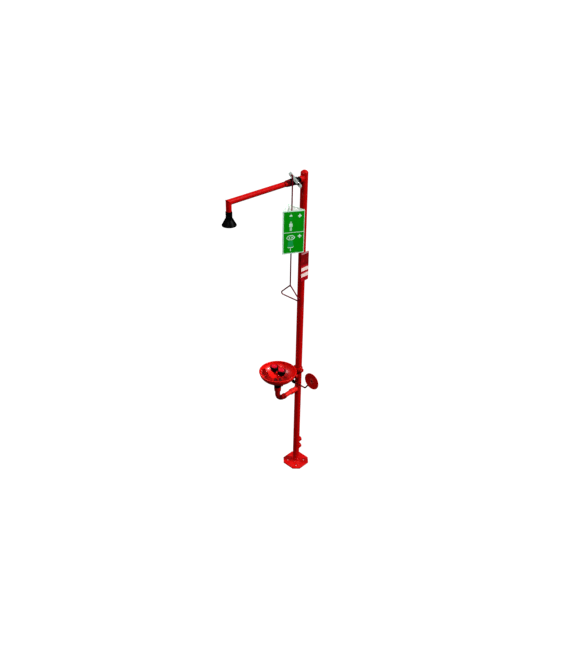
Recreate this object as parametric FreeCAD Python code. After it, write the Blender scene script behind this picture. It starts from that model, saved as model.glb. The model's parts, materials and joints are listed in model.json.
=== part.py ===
import FreeCAD, Part
import math
import os

# Emergency safety shower with a bowl eyewash, on one floor-standing column.
# Millimetres. Origin: centre of the base plate's underside. +Z up.
# The user stands at -Y and faces +Y: the arm and the bowl reach out to -Y,
# the pull rod and the push paddle are on the +X side.

V = FreeCAD.Vector
X_DIR = V(1, 0, 0)
Y_DIR = V(0, 1, 0)
Z_DIR = V(0, 0, 1)

# ---- driving dimensions -------------------------------------------------
PART_GAP = 0.3            # between curved faces of pieces that move apart
RUN_GAP = 0.05            # radial clearance of a running shaft

COLUMN_R = 48.3 / 2       # 1 1/2 inch steel pipe
COLUMN_WALL = 3.2
COLUMN_TOP = 2341.0
CAP_RISE = 16.0

BASE_HALF = 88.0
BASE_CORNER = 39.0        # leg of the cut corner
BASE_T = 9.0
BASE_HOLE_R = 7.0
BASE_HOLE_AT = 44.0
HUB_R = 31.0              # weld hub round the column's foot
HUB_H = 8.0

PIPE_R = 33.7 / 2         # 1 inch steel pipe
PIPE_WALL = 3.2
SOCKET_GAP = 0.1          # between a pipe and the plain bore it is screwed into
SCREWED = 11.5            # how far a pipe goes into a fitting
ARM_Z = 2303.5
ARM_REACH = 631.0         # column axis to shower head axis
ARM_FOOT = 2224.5         # lower end of the arm's drop
HEAD_COLLAR = (2224.0, 2250.0)
HEAD_SHELL_TOP = 2207.0
HEAD_RIM = 2165.0
HEAD_R = 42.5

SOCKET_R = 21.0           # welded female sockets
SOCKET_TIP = 41.0
SOCKET_BORE_R = 15.15     # 1 inch pipe thread, minor radius
SOCKET_DEPTH = 16.0       # thread length, down to the socket's shoulder
INLET_Z = 205.0
OUTLET_Z = 140.0
WATER_HOLE_R = 12.0       # holes in the column's wall behind the sockets
EYE_HOLE_R = 8.0

SHOWER_STEM_Y = -104.0
SHOWER_VALVE = dict(half=33.0, r=23.0, ball=18.0, bore=11.0, stem=6.0, stem_out=36.0)
STEM_REACH = 60.0         # longer than either valve's stem
TONGUE_DEPTH = 3.0
TONGUE_HALF = 2.5
LEVER_X = 42.3
LEVER_T = 3.0
LEVER_W = 22.0
LEVER_TILT = 46.5         # degrees above the horizontal, closed
LEVER_HOLE_AT = 92.0
LEVER_TIP = 106.0         # centre of the rounded front end
LEVER_TAIL = 33.0         # centre of the rounded rear end

ROD_R = 4.25
ROD_X = 55.6
HANDLE_TOP = 1640.0
HANDLE_BOTTOM = 1550.0
HANDLE_HALF = 94.0
HANDLE_BEND = 12.0

SIGN_SIDE = 142.0
SIGN_TOP = 2164.0
SIGN_BOTTOM = 1882.0
SIGN_WALL = 2.5

PLATE_X = 27.0
PLATE_T = 2.0
PLATE_HALF_W = 36.0
PLATE_Z = (1606.0, 1814.0)

BOWL_Y = -217.0
BOWL_RIM_Z = 960.0
BOWL_R = 129.0
BOWL_DEPTH = 80.0
BOWL_SHEET = 2.5
BEAD_R = 3.0
BOWL_HOLE_R = 20.0
BOWL_BOTTOM = BOWL_RIM_Z - BOWL_DEPTH
HEAD_SPREAD = 35.0        # eyewash heads, each side of the bowl centre
MANIFOLD_Z = 930.0
MANIFOLD_R = 8.0
CUP_RIM_R = 29.5          # rubber eye cups
CUP_RIM_Z = 986.0
CAP_R = 21.6
CAP_TOP = 990.0
RISER_R = 7.0

EYE_Z = 829.0
EYE_STEM_Y = -90.0
EYE_VALVE = dict(half=26.0, r=16.0, ball=11.5, bore=6.5, stem=5.0, stem_out=26.0)
EYE_PIPE_R = 21.3 / 2     # 1/2 inch pipe
PADDLE_R = 62.0
PADDLE_AT = (214.0, 923.5)
PADDLE_BEND_X = 148.0
PADDLE_ROD_R = 5.0

DRAIN_Z = 711.0
DRAIN_BEND = 62.0
DRAIN_TUBE_R = 10.0
ELBOW_R = 18.5
NECK_R = 22.0
TEE_R = 25.0              # tee under the bowl: water comes in, waste goes down
TEE_Z = (796.0, 846.0)
TEE_SOCKET = 16.0         # depth of the elbow's socket in the tee
TEE_BOSS = 42.0           # tip of the supply boss, from the tee's axis
NECK_SPIGOT = 10.0

CLAMP_Z = (868.0, 892.0)
CLAMP_R = 30.0
CLAMP_EAR_X = 41.0
CLAMP_BOLT_X = 35.0

os.makedirs("parts", exist_ok=True)


# ---- helpers --------------------------------------------------------------
def save(node, shape):
    """Write one named node."""
    if not shape.isValid():
        raise ValueError(node + " is not a valid shape")
    shape.exportStep("parts/" + node + ".step")
    print(node, len(shape.Solids), round(shape.Volume))


def group(*shapes):
    return Part.makeCompound(list(shapes))


def cyl(radius, start, end):
    run = end - start
    return Part.makeCylinder(radius, run.Length, start, run)


def tube(outer, inner, start, end):
    return cyl(outer, start, end).cut(cyl(inner, start, end))


def box(x0, x1, y0, y1, z0, z1):
    return Part.makeBox(x1 - x0, y1 - y0, z1 - z0, V(x0, y0, z0))


def place(shape, at, direction):
    """Put a shape drawn along +Z at a point, along a direction."""
    shape.Placement = FreeCAD.Placement(at, FreeCAD.Rotation(Z_DIR, direction))
    return shape


def lathe(profile, at=V(0, 0, 0), direction=Z_DIR):
    """Turn a closed (radius, height) outline about an axis."""
    points = [V(r, 0, h) for r, h in profile]
    face = Part.Face(Part.makePolygon(points + [points[0]]))
    return place(face.revolve(V(0, 0, 0), Z_DIR, 360), at, direction)


def hex_bar(flats, length, at, direction):
    reach = flats / math.sqrt(3)
    corners = [V(reach * math.cos(math.radians(60 * k)), reach * math.sin(math.radians(60 * k)), 0)
               for k in range(7)]
    return place(Part.Face(Part.makePolygon(corners)).extrude(V(0, 0, length)), at, direction)


def hex_nut(flats, bore, length, at, direction):
    return hex_bar(flats, length, at, direction).cut(cyl(bore, at, at + direction * length))


def bent_bar(points, bend, radius, closed=False):
    """A round bar through corner points, with a tangent arc at each corner."""
    count = len(points)
    corners = range(count) if closed else range(1, count - 1)
    pieces = []
    joints = {}
    for k in corners:
        here = points[k]
        back = (points[k - 1] - here).normalize()
        ahead = (points[(k + 1) % count] - here).normalize()
        half = back.getAngle(ahead) / 2
        setback = bend / math.tan(half)
        first = here + back * setback
        last = here + ahead * setback
        centre = here + (back + ahead).normalize() * (bend / math.sin(half))
        axis = (first - centre).cross(last - centre).normalize()
        turn = math.degrees((first - centre).getAngle(last - centre))
        ring = Part.Face(Part.Wire(Part.makeCircle(radius, first, back)))
        pieces.append(ring.revolve(centre, axis, turn))
        joints[k] = (first, last)
    for k in range(count if closed else count - 1):
        after = (k + 1) % count
        start = joints[k][1] if k in joints else points[k]
        end = joints[after][0] if after in joints else points[after]
        pieces.append(cyl(radius, start, end))
    return pieces[0].multiFuse(pieces[1:]).removeSplitter()


def bent_tube(points, bend, outer, inner):
    return bent_bar(points, bend, outer).cut(bent_bar(points, bend, inner))


COLUMN_SOLID = cyl(COLUMN_R, V(0, 0, BASE_T), V(0, 0, COLUMN_TOP))


def column_boss(radius, bore, tip, height, side):
    """A short socket welded on the column, pointing to +Y or -Y."""
    end = V(0, side * tip, height)
    body = cyl(radius, V(0, side * 5.0, height), end)
    body = body.makeChamfer(1.5, [edge for edge in body.Edges if abs(edge.CenterOfMass.y - end.y) < 0.01])
    return body.cut(COLUMN_SOLID).cut(cyl(bore, V(0, 0, height), end))


def threaded_socket(passage, height):
    """A building connection at the column's back: a passage, then a shoulder and the thread."""
    socket = column_boss(SOCKET_R, passage, SOCKET_TIP, height, 1)
    mouth = V(0, SOCKET_TIP, height)
    return socket.cut(cyl(SOCKET_BORE_R, mouth - Y_DIR * SOCKET_DEPTH, mouth))


# ---- column and base --------------------------------------------------------
def make_base_plate():
    full = BASE_HALF
    cut = BASE_HALF - BASE_CORNER
    outline = [V(cut, -full, 0), V(full, -cut, 0), V(full, cut, 0), V(cut, full, 0),
               V(-cut, full, 0), V(-full, cut, 0), V(-full, -cut, 0), V(-cut, -full, 0)]
    plate = Part.Face(Part.makePolygon(outline + [outline[0]])).extrude(V(0, 0, BASE_T))
    plate = plate.makeChamfer(1.0, [e for e in plate.Edges if abs(e.CenterOfMass.z - BASE_T) < 0.01])
    hub = lathe([(COLUMN_R, BASE_T), (HUB_R, BASE_T), (COLUMN_R + 1.5, BASE_T + HUB_H),
                 (COLUMN_R, BASE_T + HUB_H)])
    plate = plate.fuse(hub)
    for x in (-BASE_HOLE_AT, BASE_HOLE_AT):
        for y in (-BASE_HOLE_AT, BASE_HOLE_AT):
            plate = plate.cut(cyl(BASE_HOLE_R, V(x, y, -1), V(x, y, BASE_T + 1)))
    save("base_plate", plate)


def make_column():
    pipe = tube(COLUMN_R, COLUMN_R - COLUMN_WALL, V(0, 0, BASE_T), V(0, 0, COLUMN_TOP))
    drain_hole = DRAIN_TUBE_R + SOCKET_GAP
    holes = ((ARM_Z, -1, WATER_HOLE_R), (EYE_Z, -1, EYE_HOLE_R), (DRAIN_Z, -1, drain_hole),
             (INLET_Z, 1, WATER_HOLE_R), (OUTLET_Z, 1, drain_hole))
    for height, side, radius in holes:
        pipe = pipe.cut(cyl(radius, V(0, 0, height), V(0, side * 2 * COLUMN_R, height)))
    save("column_pipe", pipe)

    plug_r = COLUMN_R - COLUMN_WALL - RUN_GAP
    plug_length = 12.0
    sphere_r = (COLUMN_R ** 2 + CAP_RISE ** 2) / (2 * CAP_RISE)
    dome = Part.makeSphere(sphere_r, V(0, 0, COLUMN_TOP + CAP_RISE - sphere_r))
    dome = dome.common(cyl(COLUMN_R, V(0, 0, COLUMN_TOP), V(0, 0, COLUMN_TOP + CAP_RISE + 1)))
    plug = cyl(plug_r, V(0, 0, COLUMN_TOP - plug_length), V(0, 0, COLUMN_TOP))
    save("column_cap", dome.fuse(plug))

    save("water_inlet_socket", threaded_socket(WATER_HOLE_R, INLET_Z))
    save("drain_outlet_socket", threaded_socket(drain_hole, OUTLET_Z))
    route = [V(0, -56, DRAIN_Z), V(0, 0, DRAIN_Z), V(0, 0, OUTLET_Z), V(0, 23, OUTLET_Z)]
    save("inner_drain_tube", bent_tube(route, 12.0, DRAIN_TUBE_R, DRAIN_TUBE_R - 1.2))


# ---- ball valves --------------------------------------------------------------
def turn_to_y(shape, centre):
    """Move a shape drawn along +Z so that it runs along -Y through a centre."""
    shape.Placement = FreeCAD.Placement(centre, FreeCAD.Rotation(X_DIR, 90)).multiply(shape.Placement)
    return shape


def valve_pieces(size, centre):
    """Body, end piece and seats of a ball valve whose bore runs along Y and stem along +X."""
    half, outer, ball = size["half"], size["r"], size["ball"]
    pocket = ball + 1.0
    step = ball - 1.0
    nut_length = 15.0
    thread_depth = 12.0
    seat_length = 5.0
    stem_boss_wall = 5.0
    flats = 2 * outer * 0.94
    near, far = V(0, 0, -half), V(0, 0, half)

    bore = cyl(size["bore"] + 0.5, near, far)
    threads = [cyl(size["pipe"] + SOCKET_GAP, tip, tip + inward * thread_depth)
               for tip, inward in ((near, Z_DIR), (far, -Z_DIR))]
    cavity = cyl(pocket, V(0, 0, -step), V(0, 0, step))

    body = lathe([(0, -half), (outer - 1, -half), (outer - 1, -half + nut_length - 1),
                  (outer, -half + nut_length + 1), (outer, step), (0, step)])
    room = hex_bar(flats, nut_length, near, Z_DIR).fuse(cyl(outer, near + Z_DIR * nut_length, far))
    body = turn_to_y(body.common(room).cut(cavity).cut(bore).cut(threads[0]), centre)
    boss = cyl(size["stem"] + stem_boss_wall, centre, centre + X_DIR * size["stem_out"])
    boss = boss.cut(turn_to_y(cavity.copy(), centre)).cut(turn_to_y(bore.copy(), centre))
    body = body.fuse(boss).cut(cyl(size["stem"] + RUN_GAP, centre, centre + X_DIR * STEM_REACH))

    end = hex_bar(flats, half - step, V(0, 0, step), Z_DIR)
    end = end.common(lathe([(0, step), (outer, step), (outer, half - 2), (outer - 2, half), (0, half)]))
    end = turn_to_y(end.cut(bore).cut(threads[1]), centre)

    seats = []
    for side in (-1, 1):
        face, back = V(0, 0, side * step), V(0, 0, side * (step - seat_length))
        seat = tube(pocket - 0.1, size["bore"] + 0.5, face, back)
        seats.append(turn_to_y(seat, centre).cut(Part.makeSphere(ball + PART_GAP, centre)))
    return body, end, group(*seats)


def make_ball(size, centre):
    """Drilled ball, closed at rest, with a slot for the stem's tongue."""
    reach = size["ball"] + 1
    ball = Part.makeSphere(size["ball"], centre)
    ball = ball.cut(cyl(size["bore"], centre - Z_DIR * reach, centre + Z_DIR * reach))
    slot = box(size["ball"] - TONGUE_DEPTH, reach, -TONGUE_HALF, TONGUE_HALF, -reach, reach)
    slot.translate(centre)
    return ball.cut(slot)


def make_stem(size, centre, tip):
    """Valve stem: a tongue in the ball's slot, then a round shank."""
    shoulder = size["ball"] + 1.2
    half = size["stem"]
    tongue = box(size["ball"] - TONGUE_DEPTH, shoulder, -TONGUE_HALF, TONGUE_HALF, -half, half)
    tongue.translate(centre)
    tongue = tongue.common(cyl(half, centre, centre + X_DIR * STEM_REACH))
    return cyl(half, centre + X_DIR * shoulder, centre + X_DIR * tip).fuse(tongue)


def make_gland(size, centre, length):
    """Hexagonal packing nut round the stem, at the end of the stem boss."""
    start = centre + X_DIR * size["stem_out"]
    return hex_nut(2 * size["stem"] + 8, size["stem"] + RUN_GAP, length, start, X_DIR)


# ---- shower supply, valve, arm and head ------------------------------------------
def make_shower_line():
    """Boss, nipple, ball valve, union collar and arm; gives back the valve's seats and gland nut."""
    centre = V(0, SHOWER_STEM_Y, ARM_Z)
    size = dict(SHOWER_VALVE, pipe=PIPE_R)
    near = SHOWER_STEM_Y + size["half"]
    far = SHOWER_STEM_Y - size["half"]
    bore = PIPE_R + SOCKET_GAP
    save("shower_boss", column_boss(SOCKET_R, bore, 46.0, ARM_Z, -1))
    save("shower_nipple", tube(PIPE_R, PIPE_R - PIPE_WALL, V(0, -28, ARM_Z), V(0, near - SCREWED, ARM_Z)))
    body, end, seats = valve_pieces(size, centre)
    save("shower_valve_body", body)
    save("shower_valve_end", end)
    collar = lathe([(bore, 0), (20.0, 0), (21.0, 1.5), (21.0, 20.0), (18.5, 29.0), (bore, 29.0)],
                   V(0, far, ARM_Z), -Y_DIR)
    save("arm_union_collar", collar)
    save("shower_arm", make_arm_pipe(V(0, far + SCREWED, ARM_Z)))
    return seats, make_gland(size, centre, 5.5)


def mitre_side(corner, side):
    """Everything on the arm side (+1) or the drop side (-1) of the mitre plane."""
    near, far = sorted((0.0, side * 1500.0))
    half_space = box(-60, 60, near, far, -1500, 1500)
    half_space.Placement = FreeCAD.Placement(corner, FreeCAD.Rotation(X_DIR, 45))
    return half_space


def make_arm_pipe(start):
    """Arm pipe with a sharp mitred corner and a short drop."""
    corner = V(0, -ARM_REACH, ARM_Z)
    foot = V(0, -ARM_REACH, ARM_FOOT)
    layers = []
    for radius in (PIPE_R, PIPE_R - PIPE_WALL):
        level = cyl(radius, start, corner - Y_DIR * 60).common(mitre_side(corner, 1))
        drop = cyl(radius, foot, corner + Z_DIR * 60).common(mitre_side(corner, -1))
        layers.append(level.fuse(drop))
    return layers[0].cut(layers[1]).removeSplitter()


def make_shower_head():
    """Nut, bell-shaped shell, spray plate, and the gasket and flow regulator under the nut."""
    at = V(0, -ARM_REACH, 0)
    nut_low, nut_high = HEAD_COLLAR
    top, rim = HEAD_SHELL_TOP, HEAD_RIM
    bore = PIPE_R + SOCKET_GAP
    wall = 2.5
    nut = hex_nut(36.0, bore, nut_high - nut_low, at + Z_DIR * nut_low, Z_DIR)
    skirt = tube(19.0, bore, at + Z_DIR * top, at + Z_DIR * nut_low)
    save("shower_head_nut", nut.fuse(skirt).removeSplitter())
    outside = [(10.0, top), (24.0, top), (26.0, top - 6), (HEAD_R, top - 36), (HEAD_R, rim)]
    inside = [(HEAD_R - wall, rim), (HEAD_R - wall, top - 34.5), (23.5, top - 4.5), (10.0, top - 4.5)]
    save("shower_head_shell", lathe(outside + inside, at))
    plate = cyl(HEAD_R - wall - SOCKET_GAP, at + Z_DIR * (rim + 1.0), at + Z_DIR * (rim + 3.5))
    for ring_r, holes in ((0, 1), (10, 6), (20, 12), (30, 18)):
        for k in range(holes):
            angle = 2 * math.pi * k / holes
            spot = at + V(ring_r * math.cos(angle), ring_r * math.sin(angle), 0)
            plate = plate.cut(cyl(1.5, spot + Z_DIR * rim, spot + Z_DIR * (rim + 6)))
    save("shower_spray_plate", plate)
    gasket_top = top + 3
    save("shower_head_gasket", tube(16.6, 12.0, at + Z_DIR * top, at + Z_DIR * gasket_top))
    save("shower_flow_regulator", tube(16.4, 5.0, at + Z_DIR * gasket_top, at + Z_DIR * (gasket_top + 6)))


# ---- shower lever, pull rod and sign ------------------------------------------------
def lever_point(along, across=0.0, x=LEVER_X):
    """A point on the lever plate: along it from the stem, and across it."""
    tilt = math.radians(LEVER_TILT)
    return V(x, SHOWER_STEM_Y - along * math.cos(tilt) + across * math.sin(tilt),
             ARM_Z + along * math.sin(tilt) + across * math.cos(tilt))


def make_lever():
    """Flat steel lever, the ball and stem that it turns, and its nut and washer."""
    centre = V(0, SHOWER_STEM_Y, ARM_Z)
    half = LEVER_W / 2
    top_front, top_rear = lever_point(LEVER_TIP, half), lever_point(-LEVER_TAIL, half)
    low_front, low_rear = lever_point(LEVER_TIP, -half), lever_point(-LEVER_TAIL, -half)
    edges = [Part.LineSegment(top_rear, top_front).toShape(),
             Part.Arc(top_front, lever_point(LEVER_TIP + half), low_front).toShape(),
             Part.LineSegment(low_front, low_rear).toShape(),
             Part.Arc(low_rear, lever_point(-LEVER_TAIL - half), top_rear).toShape()]
    plate = Part.Face(Part.Wire(edges)).extrude(X_DIR * LEVER_T)
    plate = plate.makeFillet(0.6, [e for e in plate.Edges if e.BoundBox.XLength < 0.01])
    stem_r = SHOWER_VALVE["stem"]
    plate = plate.cut(cyl(stem_r, centre, centre + X_DIR * STEM_REACH))
    hole = lever_point(LEVER_HOLE_AT, 0, 0)
    plate = plate.cut(cyl(ROD_R + 0.1, hole, hole + X_DIR * STEM_REACH))
    save("shower_lever", plate)
    outer = LEVER_X + LEVER_T
    save("shower_valve_ball", make_ball(SHOWER_VALVE, centre))
    save("shower_valve_stem", make_stem(SHOWER_VALVE, centre, outer + 8.0))
    washer = tube(11.0, stem_r, V(outer, centre.y, centre.z), V(outer + 1.5, centre.y, centre.z))
    nut = hex_nut(18.0, stem_r, 5.0, V(outer + 1.5, centre.y, centre.z), X_DIR)
    save("lever_nut_and_washer", group(washer, nut))


def rod_axis(z):
    """The pull rod's axis at a height."""
    hole = lever_point(LEVER_HOLE_AT)
    return V(ROD_X, hole.y, z)


def make_pull_rod():
    """Rod with its hooked top in the lever's hole, triangular handle, and clip on the hook."""
    top = lever_point(LEVER_HOLE_AT).z
    axis = rod_axis(0)
    corners = [V(axis.x, axis.y, HANDLE_TOP), V(axis.x - HANDLE_HALF, axis.y, HANDLE_BOTTOM),
               V(axis.x + HANDLE_HALF, axis.y, HANDLE_BOTTOM)]
    handle = bent_bar(corners, HANDLE_BEND, ROD_R, closed=True)
    save("pull_handle", handle)
    route = [V(37.5, axis.y, top), V(axis.x, axis.y, top), V(axis.x, axis.y, HANDLE_TOP - 5.0)]
    rod = bent_bar(route, 8.0, ROD_R).cut(handle)
    save("pull_rod", max(rod.Solids, key=lambda solid: solid.Volume))
    clip = tube(7.0, ROD_R, V(39.0, axis.y, top), V(41.7, axis.y, top))
    save("rod_clip", clip)


def sign_prism(side, low, high):
    """A triangular prism round the pull rod, one edge towards the user."""
    reach = side / math.sqrt(3)
    centre = rod_axis(0)
    corners = []
    for degrees in (-90, 30, 150, 270):
        angle = math.radians(degrees)
        corners.append(V(centre.x + reach * math.cos(angle), centre.y + reach * math.sin(angle), low))
    return Part.Face(Part.makePolygon(corners)).extrude(Z_DIR * (high - low))


def make_sign():
    """Three-sided sleeve, two spiders that hang it on the rod, and the collars under them."""
    outer = sign_prism(SIGN_SIDE, SIGN_BOTTOM, SIGN_TOP)
    outer = outer.makeFillet(1.0, [e for e in outer.Edges if e.BoundBox.ZLength > 10])
    inner_side = SIGN_SIDE - SIGN_WALL * 2 * math.sqrt(3)
    room = sign_prism(inner_side, SIGN_BOTTOM - 1, SIGN_TOP + 1)
    room = room.makeFillet(1.0, [e for e in room.Edges if e.BoundBox.ZLength > 10])
    save("sign_sleeve", outer.cut(room))
    hub_low, hub_high, hub_r = 3.0, 5.0, 9.0
    arm_half, arm_t = 3.0, 3.0
    collar_r, collar_length = 8.0, 9.0
    hangers = []
    collars = []
    for z in (SIGN_TOP - 40, SIGN_BOTTOM + 40):
        hanger = tube(hub_r, ROD_R, rod_axis(z - hub_low), rod_axis(z + hub_high))
        for angle in (-90, 30, 150):
            arm = box(hub_r - 1, SIGN_SIDE, -arm_half, arm_half, 0.0, arm_t)
            arm.Placement = FreeCAD.Placement(rod_axis(z), FreeCAD.Rotation(Z_DIR, angle))
            hanger = hanger.fuse(arm.common(room))
        hangers.append(hanger)
        collar_top = z - hub_low
        collar = tube(collar_r, ROD_R, rod_axis(collar_top - collar_length), rod_axis(collar_top))
        screw = rod_axis(collar_top - collar_length / 2)
        collars.append(collar.cut(cyl(1.9, screw, screw + X_DIR * (collar_r + 1))))
    save("sign_hangers", group(*hangers))
    save("sign_stop_collars", group(*collars))


def make_instruction_plate():
    """Flat plate on a saddle at the column's side, held by two rivets."""
    low, high = PLATE_Z
    saddle_margin, rivet_margin = 8.0, 17.0
    front = PLATE_X + PLATE_T
    plate = box(PLATE_X, front, -PLATE_HALF_W, PLATE_HALF_W, low, high)
    plate = plate.makeFillet(6.0, [e for e in plate.Edges if e.BoundBox.XLength > 1])
    saddle = box(15.0, PLATE_X, -12.0, 12.0, low + saddle_margin, high - saddle_margin).cut(COLUMN_SOLID)
    rivets = []
    for z in (low + rivet_margin, high - rivet_margin):
        shank = cyl(2.4, V(COLUMN_R + 0.5, 0, z), V(front, 0, z))
        plate = plate.cut(shank)
        saddle = saddle.cut(shank)
        head = lathe([(0, 0), (4.5, 0), (3.8, 1.3), (2.0, 2.1), (0, 2.3)], V(front, 0, z), X_DIR)
        rivets.append(shank.fuse(head))
    save("instruction_plate", plate)
    save("plate_saddle", saddle)
    save("plate_rivets", group(*rivets))


# ---- eyewash -------------------------------------------------------------------------
def bowl_solid(radius, depth):
    """A solid half-ellipsoid of revolution, flat at the bowl's rim."""
    centre = V(0, BOWL_Y, BOWL_RIM_Z)
    ellipse = Part.Ellipse(centre + X_DIR * radius, centre - Z_DIR * depth, centre)
    edges = [Part.ArcOfEllipse(ellipse, 0, math.pi / 2).toShape(),
             Part.LineSegment(centre - Z_DIR * depth, centre).toShape(),
             Part.LineSegment(centre, centre + X_DIR * radius).toShape()]
    face = Part.Face(Part.Wire(Part.__sortEdges__(edges)))
    return face.revolve(centre, Z_DIR, 360)


def make_bowl():
    """Sheet bowl with a rolled rim, its gasket, the black neck under it and the strainer."""
    at = V(0, BOWL_Y, 0)
    foot = at + Z_DIR * BOWL_BOTTOM
    outer = bowl_solid(BOWL_R + 1, BOWL_DEPTH)
    shell = outer.cut(bowl_solid(BOWL_R + 1 - BOWL_SHEET, BOWL_DEPTH - BOWL_SHEET))
    bead = Part.makeTorus(BOWL_R, BEAD_R, V(0, BOWL_Y, BOWL_RIM_Z), Z_DIR)
    save("eyewash_bowl", shell.fuse(bead).cut(cyl(BOWL_HOLE_R, foot - Z_DIR * 5, foot + Z_DIR * 10)))

    flange_r, flange_z = 30.0, BOWL_BOTTOM - 3
    save("bowl_gasket", tube(flange_r, 19.6, at + Z_DIR * flange_z, foot + Z_DIR * 3).cut(outer))
    tee_top = TEE_Z[1]
    neck = lathe([(17.0, tee_top - NECK_SPIGOT), (20.0, tee_top - NECK_SPIGOT), (20.0, tee_top),
                  (NECK_R, tee_top), (NECK_R, flange_z - 6), (flange_r, flange_z - 5), (flange_r, flange_z),
                  (19.5, flange_z), (19.5, BOWL_BOTTOM + 3.5), (17.0, BOWL_BOTTOM + 3.5)], at)
    save("waste_supply_neck", neck)

    strainer_low, strainer_high = BOWL_BOTTOM + 3.5, BOWL_BOTTOM + 8.0
    strainer = tube(29.0, RISER_R + 0.1, at + Z_DIR * strainer_low, at + Z_DIR * strainer_high)
    slots, slot_ring, slot_r = 10, 12.5, 2.6
    for k in range(slots):
        angle = 2 * math.pi * k / slots
        spot = at + V(slot_ring * math.cos(angle), slot_ring * math.sin(angle), strainer_low)
        strainer = strainer.cut(cyl(slot_r, spot, spot + Z_DIR * 20))
    save("bowl_strainer", strainer.cut(shell))


def make_tee():
    """Tee under the neck: the riser comes in at its side, the waste leaves round the riser."""
    at = V(0, BOWL_Y, 0)
    low, high = TEE_Z
    socket_top = low + TEE_SOCKET
    elbow_bore = ELBOW_R + SOCKET_GAP
    tee = lathe([(16.0, socket_top), (elbow_bore, socket_top), (elbow_bore, low), (TEE_R - 3.5, low),
                 (TEE_R - 1, low + 7), (TEE_R, low + 14), (TEE_R, high - 8), (TEE_R - 1.5, high),
                 (20.05, high), (20.05, high - NECK_SPIGOT), (16.0, high - NECK_SPIGOT)], at)
    port = V(0, BOWL_Y, EYE_Z)
    boss = cyl(14.0, port, port + Y_DIR * TEE_BOSS).cut(cyl(TEE_R - 1, port - Z_DIR * 40, port + Z_DIR * 40))
    tee = tee.fuse(boss).cut(cyl(RISER_R + RUN_GAP, port, port + Y_DIR * TEE_BOSS))
    seat = port + Y_DIR * (TEE_R + 3)
    tee = tee.cut(cyl(EYE_PIPE_R + SOCKET_GAP, seat, port + Y_DIR * TEE_BOSS))
    save("supply_tee", tee)
    riser = [seat - Y_DIR * 0.5, port, V(0, BOWL_Y, MANIFOLD_Z - 4)]
    save("eyewash_riser", bent_tube(riser, 9.0, RISER_R, RISER_R - 2))


def make_eyewash_heads():
    """Pipe manifold on the riser, two flared rubber cups, their screens and dust caps."""
    at = V(0, BOWL_Y, 0)
    level = MANIFOLD_Z
    top = level + 18
    corners = [V(-HEAD_SPREAD, BOWL_Y, top), V(-HEAD_SPREAD, BOWL_Y, level),
               V(HEAD_SPREAD, BOWL_Y, level), V(HEAD_SPREAD, BOWL_Y, top)]
    hub = cyl(11.0, at + Z_DIR * (level - 10), at + Z_DIR * (level + 9))
    manifold = bent_bar(corners, 10.0, MANIFOLD_R).fuse(hub).cut(bent_bar(corners, 10.0, MANIFOLD_R - 2))
    manifold = manifold.cut(cyl(RISER_R + RUN_GAP, at + Z_DIR * (level - 20), at + Z_DIR * (level - 4)))
    manifold = manifold.cut(cyl(RISER_R - 2, at + Z_DIR * (level - 20), at + Z_DIR * level))
    save("nozzle_manifold", manifold)

    cups = []
    screens = []
    stub_r = MANIFOLD_R + RUN_GAP
    foot = level + 11
    rim, inner_r = CUP_RIM_Z, CAP_R + PART_GAP
    screen_low, screen_high = 969.0, 971.0
    for side, word in ((-1, "left"), (1, "right")):
        spot = V(side * HEAD_SPREAD, BOWL_Y, 0)
        outside = [(stub_r, foot), (13.0, foot), (14.5, foot + 4), (21.0, foot + 12), (25.5, foot + 22),
                   (CUP_RIM_R, rim - 8), (CUP_RIM_R, rim - 1.5), (CUP_RIM_R - 1.5, rim)]
        inside = [(inner_r, rim), (inner_r, screen_high), (22.5, screen_high), (22.5, 966.0),
                  (12.0, top), (stub_r, top)]
        cups.append(lathe(outside + inside, spot))
        screen = cyl(22.4, spot + Z_DIR * screen_low, spot + Z_DIR * screen_high)
        for ring_r, holes in ((6, 6), (12, 12), (18, 18)):
            for k in range(holes):
                angle = 2 * math.pi * k / holes
                hole = spot + V(ring_r * math.cos(angle), ring_r * math.sin(angle), screen_low)
                screen = screen.cut(cyl(1.0, hole - Z_DIR, hole + Z_DIR * 4))
        screens.append(screen)
        cap = lathe([(0, rim), (CAP_R - 2.5, rim), (CAP_R - 2.5, rim - 10), (CAP_R, rim - 10),
                     (CAP_R, CAP_TOP - 1.5), (CAP_R - 1.5, CAP_TOP), (0, CAP_TOP)], spot)
        save("dust_cap_" + word, cap)
    save("eyewash_heads", group(*cups))
    save("eyewash_screens", group(*screens))


def make_eyewash_line():
    """Boss, nipple, ball valve and supply pipe; gives back the valve's seats and gland nut."""
    centre = V(0, EYE_STEM_Y, EYE_Z)
    size = dict(EYE_VALVE, pipe=EYE_PIPE_R)
    near = EYE_STEM_Y + size["half"]
    far = EYE_STEM_Y - size["half"]
    wall = 2.6
    save("eyewash_boss", column_boss(16.0, EYE_PIPE_R + SOCKET_GAP, 40.0, EYE_Z, -1))
    save("eyewash_nipple", tube(EYE_PIPE_R, EYE_PIPE_R - wall, V(0, -28, EYE_Z), V(0, near - SCREWED, EYE_Z)))
    body, end, seats = valve_pieces(size, centre)
    save("eyewash_valve_body", body)
    save("eyewash_valve_end", end)
    save("eyewash_supply_pipe", tube(EYE_PIPE_R, EYE_PIPE_R - wall, V(0, far + SCREWED, EYE_Z),
                                     V(0, BOWL_Y + TEE_R + 3.5, EYE_Z)))
    return seats, make_gland(size, centre, 5.0)


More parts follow.
